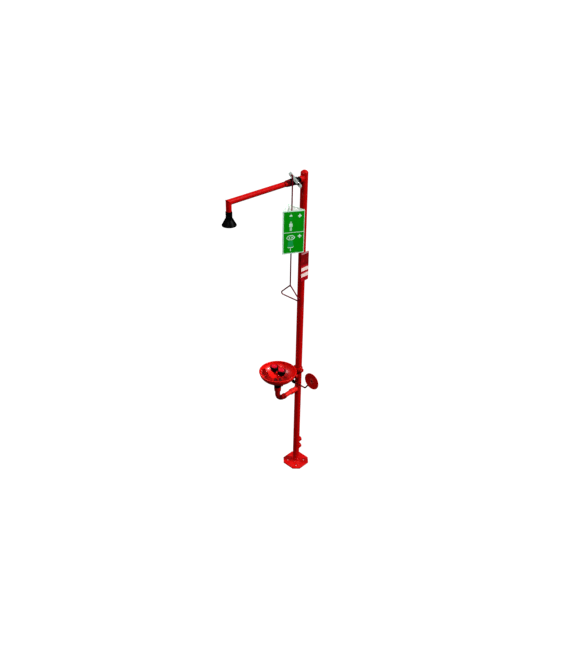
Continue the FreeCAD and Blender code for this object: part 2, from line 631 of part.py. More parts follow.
def make_paddle():
    """Dished push disc on a bent rod, with the hub, stem and ball that it turns."""
    centre = V(0, EYE_STEM_Y, EYE_Z)
    hub_start, step, hub_end = 31.5, 44.0, 55.0
    x, z = PADDLE_AT
    save("eyewash_valve_ball", make_ball(EYE_VALVE, centre))
    save("eyewash_valve_stem", make_stem(EYE_VALVE, centre, step))
    route = [centre + X_DIR * step, V(PADDLE_BEND_X, EYE_STEM_Y, EYE_Z), V(x, EYE_STEM_Y, z)]
    rod = bent_bar(route, 16.0, PADDLE_ROD_R)
    save("paddle_rod", rod)
    hub = cyl(12.0, centre + X_DIR * hub_start, centre + X_DIR * hub_end)
    hub = hub.makeChamfer(1.0, [e for e in hub.Edges if e.BoundBox.XLength < 0.01])
    hub = hub.cut(cyl(EYE_VALVE["stem"], centre, centre + X_DIR * step)).cut(rod)
    save("paddle_hub", hub)
    back = EYE_STEM_Y - PADDLE_ROD_R - 2.0
    disc = lathe([(0, 0), (58.0, 0), (61.0, 1.0), (PADDLE_R, 3.0), (61.0, 5.0), (58.5, 5.5), (56.0, 4.5),
                  (54.0, 3.0), (34.0, 3.0), (33.0, 4.0), (29.0, 4.0), (28.0, 3.0), (0, 3.0)],
                 V(x, back, z), -Y_DIR)
    boss = cyl(10.0, V(x, back, z), V(x, EYE_STEM_Y + 7.0, z)).cut(rod)
    save("push_paddle", disc.fuse(boss))


# ---- bowl drain and bracket -------------------------------------------------------------
def make_drain():
    """Waste elbow, pipe and union between the tee and the column."""
    top = V(0, BOWL_Y, TEE_Z[0] + TEE_SOCKET)
    low = V(0, BOWL_Y, DRAIN_Z)
    end = V(0, BOWL_Y + DRAIN_BEND + 13.0, DRAIN_Z)
    mouth = end - Y_DIR * 8.0
    bore = PIPE_R + SOCKET_GAP
    elbow = bent_bar([top, low, end], DRAIN_BEND, ELBOW_R).fuse(cyl(ELBOW_R + 2, end - Y_DIR * 12.0, end))
    elbow = elbow.cut(bent_bar([top, low, end], DRAIN_BEND, ELBOW_R - 3)).cut(cyl(bore, mouth, end))
    save("drain_elbow", elbow)
    save("drain_pipe", tube(PIPE_R, PIPE_R - PIPE_WALL, mouth, V(0, -60, DRAIN_Z)))
    tube_bore = DRAIN_TUBE_R + SOCKET_GAP
    union = lathe([(bore, 0), (20.0, 0), (21.0, 1.0), (21.0, 27.0), (19.0, 30.0), (tube_bore, 30.0),
                   (tube_bore, 22.0), (bore, 22.0)], V(0, -80, DRAIN_Z), Y_DIR)
    save("drain_union", union)
    save("drain_boss", column_boss(19.0, tube_bore, 50.0, DRAIN_Z, -1))


def make_bowl_bracket():
    """Two-part clamp on the column, its bolts, and the gusset that carries the bowl."""
    low, high = CLAMP_Z
    middle = (low + high) / 2
    ring = tube(CLAMP_R, COLUMN_R, V(0, 0, low), V(0, 0, high))
    ears = box(-CLAMP_EAR_X, CLAMP_EAR_X, -8, 8, low, high).cut(COLUMN_SOLID)
    clamp = ring.fuse(ears)
    for x in (-CLAMP_BOLT_X, CLAMP_BOLT_X):
        clamp = clamp.cut(cyl(3.3, V(x, -20, middle), V(x, 20, middle)))
    front = clamp.common(box(-60, 60, -60, -1, low - 1, high + 1))
    rear = clamp.common(box(-60, 60, 1, 60, low - 1, high + 1))
    save("clamp_halves", group(front, rear))
    fasteners = []
    for x in (-CLAMP_BOLT_X, CLAMP_BOLT_X):
        head = hex_bar(10.0, 4.0, V(x, 8, middle), Y_DIR)
        fasteners.append(head.fuse(cyl(3.0, V(x, -15, middle), V(x, 8, middle))))
        fasteners.append(hex_nut(10.0, 3.0, 5.0, V(x, -13, middle), Y_DIR))
    save("clamp_bolts", group(*fasteners))
    outline = [V(-2.5, -26, low + 2), V(-2.5, -26, high - 2), V(-2.5, -92, 935), V(-2.5, -140, 935),
               V(-2.5, -140, 905), V(-2.5, -60, low + 4)]
    gusset = Part.Face(Part.makePolygon(outline + [outline[0]])).extrude(V(5, 0, 0))
    gusset = gusset.cut(bowl_solid(BOWL_R + 1, BOWL_DEPTH))
    gusset = gusset.cut(cyl(CLAMP_R, V(0, 0, low), V(0, 0, high)))
    bead = Part.makeTorus(BOWL_R, BEAD_R, V(0, BOWL_Y, BOWL_RIM_Z), Z_DIR)
    save("bowl_bracket", gusset.cut(bead))


make_base_plate()
make_column()
shower_seats, shower_gland = make_shower_line()
make_shower_head()
make_lever()
make_pull_rod()
make_sign()
make_instruction_plate()
make_bowl()
make_tee()
make_eyewash_heads()
eyewash_seats, eyewash_gland = make_eyewash_line()
save("valve_seats", group(*shower_seats.Solids, *eyewash_seats.Solids))
save("gland_nuts", group(shower_gland, eyewash_gland))
make_paddle()
make_drain()
make_bowl_bracket()
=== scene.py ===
import json
from math import acos, atan2, cos, degrees, pi, radians, sin, sqrt, tan

import bmesh
import bpy
from mathutils import Matrix, Vector


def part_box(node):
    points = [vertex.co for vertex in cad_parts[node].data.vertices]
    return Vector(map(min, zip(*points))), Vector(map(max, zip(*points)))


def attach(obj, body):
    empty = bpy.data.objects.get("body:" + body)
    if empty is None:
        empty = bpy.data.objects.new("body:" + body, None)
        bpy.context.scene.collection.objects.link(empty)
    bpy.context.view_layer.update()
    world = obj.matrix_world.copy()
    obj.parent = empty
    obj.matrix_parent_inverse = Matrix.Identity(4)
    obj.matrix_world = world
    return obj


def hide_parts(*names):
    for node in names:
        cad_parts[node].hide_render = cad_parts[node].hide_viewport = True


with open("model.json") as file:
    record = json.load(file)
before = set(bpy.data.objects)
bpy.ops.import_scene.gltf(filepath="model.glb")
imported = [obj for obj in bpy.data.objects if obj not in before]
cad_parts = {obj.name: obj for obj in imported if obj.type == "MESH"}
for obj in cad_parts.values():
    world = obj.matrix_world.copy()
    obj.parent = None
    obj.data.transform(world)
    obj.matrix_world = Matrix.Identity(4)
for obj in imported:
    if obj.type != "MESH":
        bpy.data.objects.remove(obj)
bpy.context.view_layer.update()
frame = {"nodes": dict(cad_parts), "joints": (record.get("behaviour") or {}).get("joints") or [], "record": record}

MM = 0.001
UP = Vector((0, 0, 1))
RIGHT = Vector((1, 0, 0))
BACK = Vector((0, 1, 0))
FRONT = Vector((0, -1, 0))
FULL_TURN = 2 * pi
NODES = frame["nodes"]


# ---- places read from the frame, in metres unless they say millimetres ----
def lowest(node):
    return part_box(node)[0]


def highest(node):
    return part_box(node)[1]


def middle(node):
    return (lowest(node) + highest(node)) / 2


def span(node):
    return highest(node) - lowest(node)


def levels_of(node):
    """A node's lowest and highest level, millimetres."""
    return lowest(node).z / MM, highest(node).z / MM


def near_ends(node):
    """The two levels 4.5 mm inside a node's ends, where its pair of equal pieces sit."""
    return lowest(node).z + 4.5 * MM, highest(node).z - 4.5 * MM


def joint_point(name):
    joint = next(j for j in frame["joints"] if j["name"] == name)
    return Vector(joint["pos_m"])


COLUMN_R = span("column_pipe").x / 2
PIPE_R = span("drain_pipe").x / 2
EYE_PIPE_R = span("eyewash_supply_pipe").x / 2
BASE_TOP = lowest("column_pipe").z
BOWL = middle("eyewash_bowl")
BOWL_RIM_Z = highest("eyewash_bowl").z - 3 * MM
HEAD = middle("shower_head_shell")
ROD = middle("sign_stop_collars")
ROD_R = span("pull_handle").y / 2
LEVER_PIVOT = joint_point("shower_lever_turn")
ROD_HOLE = joint_point("pull_rod_hang")
LEVER_WAY = (ROD_HOLE - LEVER_PIVOT).normalized()
LEVER_SIDE = LEVER_WAY.cross(RIGHT)
PADDLE = middle("push_paddle")
PADDLE_PIVOT = joint_point("paddle_push")


def flat(point, height):
    """The same place at another height, given in metres."""
    return Vector((point.x, point.y, height))


def spoke(angle):
    """A level unit vector, turned by an angle from the right."""
    return Vector((cos(angle), sin(angle), 0))


def metres(points):
    """Outline points in millimetres as vectors in metres."""
    return [Vector(point) * MM for point in points]


# ---- mesh helpers ----
def add_object(name, data):
    thing = bpy.data.objects.new(name, data)
    bpy.context.scene.collection.objects.link(thing)
    return thing


def keep(name, mesh, material, body, stands_for=(), crease=35):
    """Turn a bmesh into a named piece that rides on a body."""
    bmesh.ops.remove_doubles(mesh, verts=mesh.verts, dist=1e-7)
    bmesh.ops.recalc_face_normals(mesh, faces=mesh.faces)
    data = bpy.data.meshes.new(name)
    mesh.to_mesh(data)
    mesh.free()
    data.shade_smooth()
    data.set_sharp_from_angle(angle=radians(crease))
    data.materials.append(material)
    piece = add_object(name, data)
    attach(piece, body)
    if stands_for:
        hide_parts(*stands_for)


def turn_to(axis):
    return UP.rotation_difference(Vector(axis)).to_matrix().to_4x4()


def rounded(corners, closed=True):
    """Corner points (r, h, fillet), millimetres, to a smooth outline in metres."""
    steps = 5
    most = 0.49
    outline = []
    count = len(corners)
    for k, (r, h, fillet) in enumerate(corners):
        here = Vector((r, h))
        if fillet <= 0 or (not closed and k in (0, count - 1)):
            outline.append(here * MM)
            continue
        before = Vector(corners[k - 1][:2]) - here
        after = Vector(corners[(k + 1) % count][:2]) - here
        half = before.angle(after) / 2
        reach = min(fillet / tan(half), before.length * most, after.length * most)
        radius = reach * tan(half)
        before.normalize()
        after.normalize()
        centre = here + (before + after).normalized() * (radius / sin(half))
        start = here + before * reach - centre
        end = here + after * reach - centre
        sweep = start.angle_signed(end)
        for s in range(steps + 1):
            angle = -sweep * s / steps
            turned = Vector((start.x * cos(angle) - start.y * sin(angle),
                             start.x * sin(angle) + start.y * cos(angle)))
            outline.append((centre + turned) * MM)
    return outline


def lathe(outline, at, axis=UP, steps=96, shape=None, mesh=None):
    """Turn an outline of (r, h) metres about an axis; shape(r, h, angle) may bend the radius."""
    on_axis = 1e-6
    mesh = mesh or bmesh.new()
    turn = Matrix.Translation(at) @ turn_to(axis)
    rings = []
    for r, h in outline:
        if r < on_axis:
            rings.append([mesh.verts.new(turn @ Vector((0, 0, h)))] * steps)
            continue
        ring = []
        for k in range(steps):
            angle = FULL_TURN * k / steps
            reach = shape(r, h, angle) if shape else r
            spot = Vector((reach * cos(angle), reach * sin(angle), h))
            ring.append(mesh.verts.new(turn @ spot))
        rings.append(ring)
    pairs = list(zip(rings, rings[1:]))
    if outline[0][0] >= on_axis or outline[-1][0] >= on_axis:
        pairs.append((rings[-1], rings[0]))
    for low, high in pairs:
        for k in range(steps):
            corners = [low[k], low[(k + 1) % steps], high[(k + 1) % steps], high[k]]
            unique = list(dict.fromkeys(corners))
            if len(unique) > 2:
                mesh.faces.new(unique)
    return mesh


CHAMFER_SLOPE = 1.75
CHAMFER_START = 0.982
HEX_INNER = 0.93
HEX_CREASE = 28         # degrees, so that the chamfers stay crisp


def hexed(flats, low, high):
    """A radius rule that squares a turned bar to a hexagon with chamfered ends (millimetres)."""
    half = flats * MM / 2
    side = radians(60)

    def rule(r, h, angle):
        if r < half * HEX_INNER:
            return r
        face = half / cos((angle + side / 2) % side - side / 2)
        from_end = min(h - low * MM, high * MM - h)
        cone = half * CHAMFER_START + max(from_end, 0) * CHAMFER_SLOPE
        return min(face, cone)
    return rule


def fluted(depth, count, low, high, least):
    """A radius rule with grip flutes between two levels, beyond a least radius (millimetres)."""
    def rule(r, h, angle):
        held = low * MM < h < high * MM and r > least * MM
        return r + (depth * MM * cos(count * angle) if held else 0)
    return rule


def hex_outline(flats, low, high, bore):
    """Outline of a hexagonal nut as (r, h), with enough levels for its end chamfers."""
    half = flats / 2
    shoulder = half * 0.92
    corner = half / cos(radians(30))
    depth = (corner - half) / CHAMFER_SLOPE + 0.05
    levels = [low + depth * k / 5 for k in range(6)]
    levels += [high - depth * (5 - k) / 5 for k in range(6)]
    outer = [(corner, level) for level in levels]
    return metres([(bore, low), (shoulder, low)] + outer + [(shoulder, high), (bore, high)])


def skin(mesh, rings, closed=False):
    """Faces from each ring of points to the next, and from the last to the first if closed."""
    pairs = list(zip(rings, rings[1:]))
    if closed:
        pairs.append((rings[-1], rings[0]))
    for near, far in pairs:
        for k in range(len(near)):
            after = (k + 1) % len(near)
            mesh.faces.new([near[k], near[after], far[after], far[k]])


def path_points(corners, bend, closed=False):
    """Corner points with tangent arcs between straight runs, as (point, tangent) pairs."""
    degrees_a_step = 7.0
    fewest_steps = 4
    count = len(corners)
    track = []
    for k, here in enumerate(corners):
        if not closed and k in (0, count - 1):
            other = corners[1] - here if k == 0 else here - corners[k - 1]
            track.append((here, other.normalized()))
            continue
        back = (corners[k - 1] - here).normalized()
        ahead = (corners[(k + 1) % count] - here).normalized()
        half = back.angle(ahead) / 2
        centre = here + (back + ahead).normalized() * (bend / sin(half))
        first = here + back * (bend / tan(half))
        axis = (-back).cross(ahead).normalized()
        total = pi - 2 * half
        steps = max(fewest_steps, int(degrees(total) / degrees_a_step))
        for s in range(steps + 1):
            spin = Matrix.Rotation(total * s / steps, 3, axis)
            track.append((centre + spin @ (first - centre), spin @ (-back)))
    return track


def sweep(track, radius, normal, closed=False, steps=28, ripple=None):
    """A round bar along (point, tangent) pairs; ripple(index) scales its radius."""
    mesh = bmesh.new()
    rings = []
    for k, (point, tangent) in enumerate(track):
        side = (normal - tangent * tangent.dot(normal)).normalized()
        over = tangent.cross(side)
        size = radius * (ripple(k) if ripple else 1.0)
        ring = []
        for s in range(steps):
            angle = FULL_TURN * s / steps
            across = side * (size * cos(angle))
            ring.append(mesh.verts.new(point + across + over * (size * sin(angle))))
        rings.append(ring)
    skin(mesh, rings, closed)
    if not closed:
        for ring, (point, tangent), sign in ((rings[0], track[0], -1), (rings[-1], track[-1], 1)):
            round_end(mesh, ring, point, tangent * sign, radius)
    return mesh


def round_end(mesh, ring, centre, outward, radius):
    """Close a swept bar with a small rounded shoulder and a flat end."""
    edge = ring
    share = 0.25
    shoulder = radius * share
    for angle in (30, 60, 90):
        turn = radians(angle)
        scale = 1 - share * (1 - cos(turn))
        lift = outward * shoulder * sin(turn)
        inner = [mesh.verts.new(centre + (v.co - centre) * scale + lift) for v in ring]
        skin(mesh, [edge, inner])
        edge = inner
    mesh.faces.new(edge)


def prism(outline, thickness, origin, across, upward, bevel=0.0, mesh=None):
    """A flat plate from an outline of (across, upward) metres, thickened along across x upward."""
    mesh = mesh or bmesh.new()
    outward = across.cross(upward).normalized()
    back = [mesh.verts.new(origin + across * u + upward * v) for u, v in outline]
    front = [mesh.verts.new(v.co + outward * thickness) for v in back]
    faces = [mesh.faces.new(back[::-1]), mesh.faces.new(front)]
    for k in range(len(back)):
        after = (k + 1) % len(back)
        mesh.faces.new([back[k], back[after], front[after], front[k]])
    if bevel:
        rim = list({edge for face in faces for edge in face.edges})
        bmesh.ops.bevel(mesh, geom=rim, offset=bevel, segments=3, profile=0.5, affect="EDGES",
                        clamp_overlap=True)
    return mesh


def arc(u, v, radius, start, end, steps=12):
    """Points in metres on an arc given in millimetres and degrees."""
    points = []
    for k in range(steps + 1):
        angle = radians(start + (end - start) * k / steps)
        points.append(((u + radius * cos(angle)) * MM, (v + radius * sin(angle)) * MM))
    return points


def stadium(u0, v0, u1, v1, radius):
    """A straight bar with round ends between two points, millimetres."""
    heading = degrees(atan2(v1 - v0, u1 - u0))
    return (arc(u1, v1, radius, heading - 90, heading + 90)
            + arc(u0, v0, radius, heading + 90, heading + 270))


def round_rect(u0, v0, u1, v1, radius):
    """A rectangle with round corners, millimetres."""
    points = []
    corners = ((u1, v0, -90, -1, 1), (u1, v1, 0, -1, -1), (u0, v1, 90, 1, -1), (u0, v0, 180, 1, 1))
    for u, v, start, toward_u, toward_v in corners:
        points += arc(u + toward_u * radius, v + toward_v * radius, radius, start, start + 90, 5)
    return points


# ---- material helpers ----
class Recipe:
    """A material's node tree with short calls for what the recipes share."""

    def __init__(self, name):
        self.material = bpy.data.materials.new(name)
        self.material.use_nodes = True
        self.tree = self.material.node_tree
        self.shader = self.tree.nodes["Principled BSDF"]
        self.place = self.add("TexCoord").outputs["Object"]

    def add(self, kind):
        return self.tree.nodes.new("ShaderNode" + kind)

    def link(self, source, target):
        self.tree.links.new(source, target)

    def set(self, **values):
        for socket, value in values.items():
            self.shader.inputs[socket.replace("_", " ")].default_value = value

    def noise(self, scale, detail, stretch=None):
        """Noise over the object's own place, in features to the metre."""
        node = self.add("TexNoise")
        node.inputs["Scale"].default_value = scale
        node.inputs["Detail"].default_value = detail
        place = self.place
        if stretch:
            mapping = self.add("Mapping")
            mapping.inputs["Scale"].default_value = stretch
            self.link(place, mapping.inputs["Vector"])
            place = mapping.outputs["Vector"]
        self.link(place, node.inputs["Vector"])
        return node.outputs["Fac"]

    def between(self, value, low, high, out_low=0.0, out_high=1.0):
        """Map a value's range to another one, clamped at both ends."""
        node = self.add("MapRange")
        node.clamp = True
        limits = {"From Min": low, "From Max": high, "To Min": out_low, "To Max": out_high}
        for socket, number in limits.items():
            node.inputs[socket].default_value = number
        self.link(value, node.inputs["Value"])
        return node.outputs["Result"]

    def times(self, first, second):
        node = self.add("Math")
        node.operation = "MULTIPLY"
        self.link(first, node.inputs[0])
        self.link(second, node.inputs[1])
        return node.outputs[0]

    def blend(self, share, first, second):
        """Mix two colours, each a tuple or a node's output."""
        node = self.add("Mix")
        node.data_type = "RGBA"
        self.link(share, node.inputs[0])
        for socket, colour in ((node.inputs[6], first), (node.inputs[7], second)):
            if isinstance(colour, tuple):
                socket.default_value = (*colour, 1.0)
            else:
                self.link(colour, socket)
        return node.outputs[2]

    def edges(self, radius):
        """1 on edges that are worn, 0 on open surface."""
        bevel = self.add("Bevel")
        bevel.samples = 4
        bevel.inputs["Radius"].default_value = radius
        dot = self.add("VectorMath")
        dot.operation = "DOT_PRODUCT"
        self.link(bevel.outputs["Normal"], dot.inputs[0])
        self.link(self.add("NewGeometry").outputs["Normal"], dot.inputs[1])
        return self.between(dot.outputs["Value"], 0.98, 0.8)

    def facing_up(self):
        """1 on surfaces that face up, where dust settles, 0 on steep ones."""
        axes = self.add("SeparateXYZ")
        self.link(self.add("NewGeometry").outputs["Normal"], axes.inputs[0])
        return self.between(axes.outputs["Z"], 0.3, 1.0)

    def bump(self, *layers):
        """Stack (height, depth in metres) layers into the shader's normal."""
        normal = None
        for height, depth in layers:
            node = self.add("Bump")
            node.inputs["Strength"].default_value = 1.0
            node.inputs["Distance"].default_value = depth
            self.link(height, node.inputs["Height"])
            if normal:
                self.link(normal, node.inputs["Normal"])
            normal = node.outputs["Normal"]
        self.link(normal, self.shader.inputs["Normal"])

    def colour(self, source):
        self.link(source, self.shader.inputs["Base Color"])

    def rough(self, scale, detail, limits):
        """Uneven roughness between two limits."""
        patches = self.between(self.noise(scale, detail), 0.3, 0.7, *limits)
        self.link(patches, self.shader.inputs["Roughness"])


def paint(name, deep, bright, rough=(0.16, 0.3), worn=(0.16, 0.02, 0.015), peel=0.000016, gloss=0.35):
    """Gloss enamel: orange peel, uneven film, rubbed patches, worn edges and settled dust."""
    r = Recipe(name)
    film = r.blend(r.between(r.noise(9.0, 4.0), 0.35, 0.65), deep, bright)
    wear = r.times(r.edges(0.0012), r.between(r.noise(70.0, 5.0), 0.5, 0.62))
    dust = r.times(r.facing_up(), r.between(r.noise(38.0, 7.0), 0.48, 0.75, 0.0, 0.03))
    film = r.blend(dust, film, (0.55, 0.42, 0.38))
    r.colour(r.blend(wear, film, worn))
    r.rough(45.0, 5.0, rough)
    r.bump((r.noise(420.0, 2.0), peel), (r.noise(75.0, 2.0), peel * 2.0))
    r.set(Coat_Weight=0.08, Coat_Roughness=0.06, IOR=1.45, Specular_IOR_Level=gloss)
    return r.material


def moulded(name, low, high, rough=(0.32, 0.5), grain=0.00004, specular=0.4, glow=0.0):
    """Moulded plastic or rubber: fine grain, faint flow marks, rubbed edges, and a painted glow where glow is set.
    """
    r = Recipe(name)
    tone = r.blend(r.between(r.noise(22.0, 5.0), 0.35, 0.7), low, high)
    rubbed = r.times(r.edges(0.0008), r.between(r.noise(120.0, 4.0), 0.42, 0.66, 0.0, 0.6))
    lighter = tuple(min(1.0, c * 1.6 + 0.01) for c in high)
    r.colour(r.blend(rubbed, tone, lighter))
    r.rough(60.0, 5.0, rough)
    r.bump((r.noise(1800.0, 2.0), grain), (r.noise(28.0, 3.0), 0.0001))
    r.set(Specular_IOR_Level=specular, Emission_Color=(*high, 1.0), Emission_Strength=glow)
    return r.material


def metal(name, low, high, rough=(0.22, 0.42), brushed=None, cast=0.0, metallic=1.0):
    """Bare or plated metal: blotchy plating, brushing or a cast skin."""
    r = Recipe(name)
    r.colour(r.blend(r.between(r.noise(55.0, 6.0), 0.3, 0.7), low, high))
    r.rough(90.0, 5.0, rough)
    layers = [(r.noise(900.0, 3.0), 0.00001)]
    if brushed:
        layers.append((r.noise(60.0, 8.0, brushed), 0.00003))
    if cast:
        layers.append((r.noise(700.0, 3.0), cast))
    r.bump(*layers)
    r.set(Metallic=metallic)
    return r.material


def flat_print(name, low, high, rough=(0.28, 0.42)):
    """Screen-printed ink on plastic: slight film unevenness and a halftone-fine tooth."""
    r = Recipe(name)
    r.colour(r.blend(r.between(r.noise(14.0, 4.0), 0.3, 0.7), low, high))
    r.rough(50.0, 4.0, rough)
    r.bump((r.noise(1500.0, 2.0), 0.00001), (r.noise(30.0, 2.0), 0.00006))
    return r.material


red = paint("red_enamel", (0.5, 0.0016, 0.0016), (0.6, 0.003, 0.0026), (0.22, 0.34), gloss=0.28)
bowl_red = paint("bowl_enamel", (0.64, 0.003, 0.001), (0.74, 0.005, 0.0015), (0.3, 0.38),
                 peel=0.000006, gloss=0.4)
red_dark = paint("paddle_enamel", (0.52, 0.002, 0.002), (0.64, 0.003, 0.003), worn=(0.12, 0.02, 0.02))
# A darker copy of the red enamel: painted shade for the arm's union collar and the paddle rod, which sit in
# shadow.
red_painted_shade = paint("union_enamel_painted_shade", (0.2, 0.0012, 0.0016), (0.27, 0.002, 0.002), worn=(0.1, 0.02, 0.02))
cap_red = paint("cap_enamel", (0.46, 0.0016, 0.0012), (0.56, 0.003, 0.0018), (0.45, 0.6), gloss=0.1)
# A darker red for the supply tee and drain elbow under the bowl: painted shade, the bowl's shadow on them.
fitting_red_painted_shade = paint("fitting_enamel_painted_shade", (0.36, 0.0016, 0.0016), (0.46, 0.003, 0.0026),
                    worn=(0.14, 0.02, 0.015))
# A lighter, more orange copy of the red: painted light, the bright highlight along the drain pipe's top.
pipe_red_painted_light = paint("drain_enamel_painted_light", (0.7, 0.014, 0.01), (0.8, 0.024, 0.016), worn=(0.2, 0.03, 0.02),
                 gloss=0.5)
rod_red = paint("rod_enamel", (0.16, 0.004, 0.016), (0.22, 0.008, 0.026), worn=(0.2, 0.15, 0.14))
bolt_red = paint("painted_bolts", (0.55, 0.02, 0.02), (0.66, 0.04, 0.04), (0.2, 0.35), (0.45, 0.3, 0.28))

black = moulded("black_plastic", (0.001, 0.001, 0.0011), (0.0022, 0.0022, 0.0023), specular=0.08)
cup_black = moulded("cup_rubber", (0.0015, 0.0015, 0.0015), (0.003, 0.003, 0.003), (0.45, 0.62),
                    specular=0.1)
rubber = moulded("black_rubber", (0.006, 0.006, 0.006), (0.012, 0.012, 0.012), (0.6, 0.8), specular=0.25)
crimson = moulded("cap_crimson", (0.6, 0.002, 0.022), (0.7, 0.004, 0.03), (0.2, 0.3), 0.00001)
white = moulded("sign_white", (0.66, 0.96, 0.76), (0.72, 0.98, 0.82), (0.3, 0.42), 0.00001)
# The lining glows a little: painted light, standing in for light passing through the white sheet.
lining = moulded("sheet_painted_glow", (0.88, 0.9, 0.88), (0.93, 0.95, 0.93), (0.4, 0.5), 0.00001,
                 glow=0.07)
seat_white = moulded("seat_white", (0.72, 0.72, 0.69), (0.8, 0.8, 0.77), (0.4, 0.55))
drain_grey = moulded("drain_grey", (0.5, 0.5, 0.48), (0.58, 0.58, 0.56), (0.4, 0.55))

mark_red = flat_print("paddle_mark", (0.6, 0.045, 0.04), (0.68, 0.07, 0.06))
green = flat_print("sign_green", (0.0, 0.36, 0.003), (0.0, 0.4, 0.006))
ink_white = flat_print("sign_ink_white", (0.66, 0.98, 0.76), (0.74, 0.99, 0.84))
ink_pale = flat_print("sign_ink_pale", (0.01, 0.42, 0.1), (0.02, 0.48, 0.14))
plate_red = flat_print("plate_red", (0.48, 0.003, 0.012), (0.56, 0.005, 0.018))
plate_dark = flat_print("plate_dark", (0.2, 0.002, 0.004), (0.3, 0.003, 0.006))
plate_cream = flat_print("plate_cream", (0.92, 0.7, 0.65), (0.96, 0.8, 0.75))
plate_mark = flat_print("plate_mark", (0.32, 0.004, 0.008), (0.38, 0.006, 0.012))
plate_grey = flat_print("plate_grey", (0.48, 0.24, 0.26), (0.56, 0.32, 0.34))

valve_black = metal("valve_black", (0.005, 0.005, 0.005), (0.014, 0.013, 0.013), (0.32, 0.5), cast=0.00006)
lever_grey = metal("lever_zinc", (0.52, 0.63, 0.59), (0.72, 0.83, 0.78), (0.3, 0.45), (1.0, 6.0, 0.6),
                   metallic=0.35)
steel = metal("plain_steel", (0.45, 0.45, 0.46), (0.62, 0.62, 0.62), (0.22, 0.36))
rivet_steel = metal("rivet_dark", (0.16, 0.03, 0.03), (0.22, 0.05, 0.05), (0.3, 0.45))
chrome = metal("ball_chrome", (0.72, 0.73, 0.75), (0.82, 0.83, 0.84), (0.05, 0.1))
strainer_metal = metal("strainer_metal", (0.12, 0.006, 0.006), (0.22, 0.014, 0.014), (0.35, 0.5),
                       metallic=0.3)

BY_SLOT = {
    "red_paint": red, "dark_valve": valve_black, "lever_steel": lever_grey, "steel": steel,
    "chrome_ball": chrome, "rod_paint": rod_red, "seat_plastic": seat_white, "black_plastic": black,
    "strainer_metal": strainer_metal, "rubber": rubber, "drain_plastic": drain_grey,
    "sign_plastic": white, "plate_print": plate_red, "cap_plastic": crimson,
}

# nodes whose paint differs from their slot's; the fittings' darker red is painted shade and the drain's lighter
# red is painted light
OTHER_REDS = {
    "column_cap": cap_red, "supply_tee": fitting_red_painted_shade, "drain_elbow": fitting_red_painted_shade, "drain_pipe": pipe_red_painted_light,
    "drain_union": pipe_red_painted_light, "drain_boss": pipe_red_painted_light,
}


def dress_cad_nodes():
    """Give every CAD node a finished material, by its slot unless it is named above."""
    for part in frame["record"]["subparts"]:
        name, slot = part["node"], part["material_slot"]
        node = NODES[name]
        node.data.materials.clear()
        node.data.materials.append(OTHER_REDS.get(name, BY_SLOT[slot]))


# ---- welds, threads and nuts ----
def band(inner, outer, start, end, fillet):
    """Outline of a ring with rounded outer edges, millimetres."""
    return rounded([(inner, start, 0), (outer, start, fillet), (outer, end, fillet), (inner, end, 0)])


def weld_ripple(k):
    """The scalloped surface of a hand-laid weld bead."""
    return 1.0 + 0.16 * sin(k * FULL_TURN / 4)


def weld(name, curve, bead, count, normal=UP):
    """A closed weld bead along curve(angle), one scallop every four points."""
    points = [curve(FULL_TURN * k / count) for k in range(count)]
    track = []
    for k, point in enumerate(points):
        track.append((point, (points[(k + 1) % count] - points[k - 1]).normalized()))
    keep(name, sweep(track, bead, normal, True, 12, weld_ripple), red, "frame")


def ring_weld(name, height, radius, bead, count):
    """A weld round the column at a height."""
    weld(name, lambda angle: UP * height + spoke(angle) * radius, bead, count)


def saddle_weld(name, node, side):
    """The weld where a round boss meets the round column, at its front (-1) or back (1)."""
    bead = 2.2 * MM
    scallop = 10 * MM
    sunk = bead * 0.3
    reach = span(node).x / 2 + sunk

    def curve(angle):
        x = reach * cos(angle)
        y = sqrt((COLUMN_R + sunk) ** 2 - x * x)
        return Vector((x, side * y, middle(node).z + reach * sin(angle)))
    weld(name, curve, bead, 4 * int(FULL_TURN * reach / scallop), FRONT * -side)


def make_welds():
    ring_weld("weld_foot", BASE_TOP + 1.5 * MM, COLUMN_R + 6.5 * MM, 3.0 * MM, 88)
    ring_weld("weld_hub", BASE_TOP + 8.5 * MM, COLUMN_R + 0.6 * MM, 1.6 * MM, 80)
    for boss in ("shower_boss", "eyewash_boss", "drain_boss"):
        saddle_weld("weld_" + boss, boss, -1)
    saddle_weld("weld_inlet", "water_inlet_socket", 1)
    saddle_weld("weld_outlet", "drain_outlet_socket", 1)
    ring_weld("weld_cap", lowest("column_cap").z + 12 * MM, COLUMN_R - 0.5 * MM, 1.1 * MM, 96)
    corner = Vector((0, HEAD.y, middle("shower_nipple").z))

    def mitre(angle):
        rise = PIPE_R * sin(angle)
        return corner + Vector((PIPE_R * cos(angle), -rise, rise))
    weld("weld_mitre", mitre, 1.3 * MM, 64, Vector((0, 1, 1)).normalized())


def threaded(radius, start, end, pitch, depth, inside=False):
    """Outline points (r, h) in millimetres of a thread's crests and roots."""
    turns = int((end - start) / pitch)
    sign = 1 if inside else -1
    points = []
    for k in range(turns):
        base = start + k * pitch
        points += [(radius, base), (radius, base + pitch * 0.15)]
        points += [(radius + sign * depth, base + pitch * 0.5), (radius, base + pitch * 0.85)]
    return points


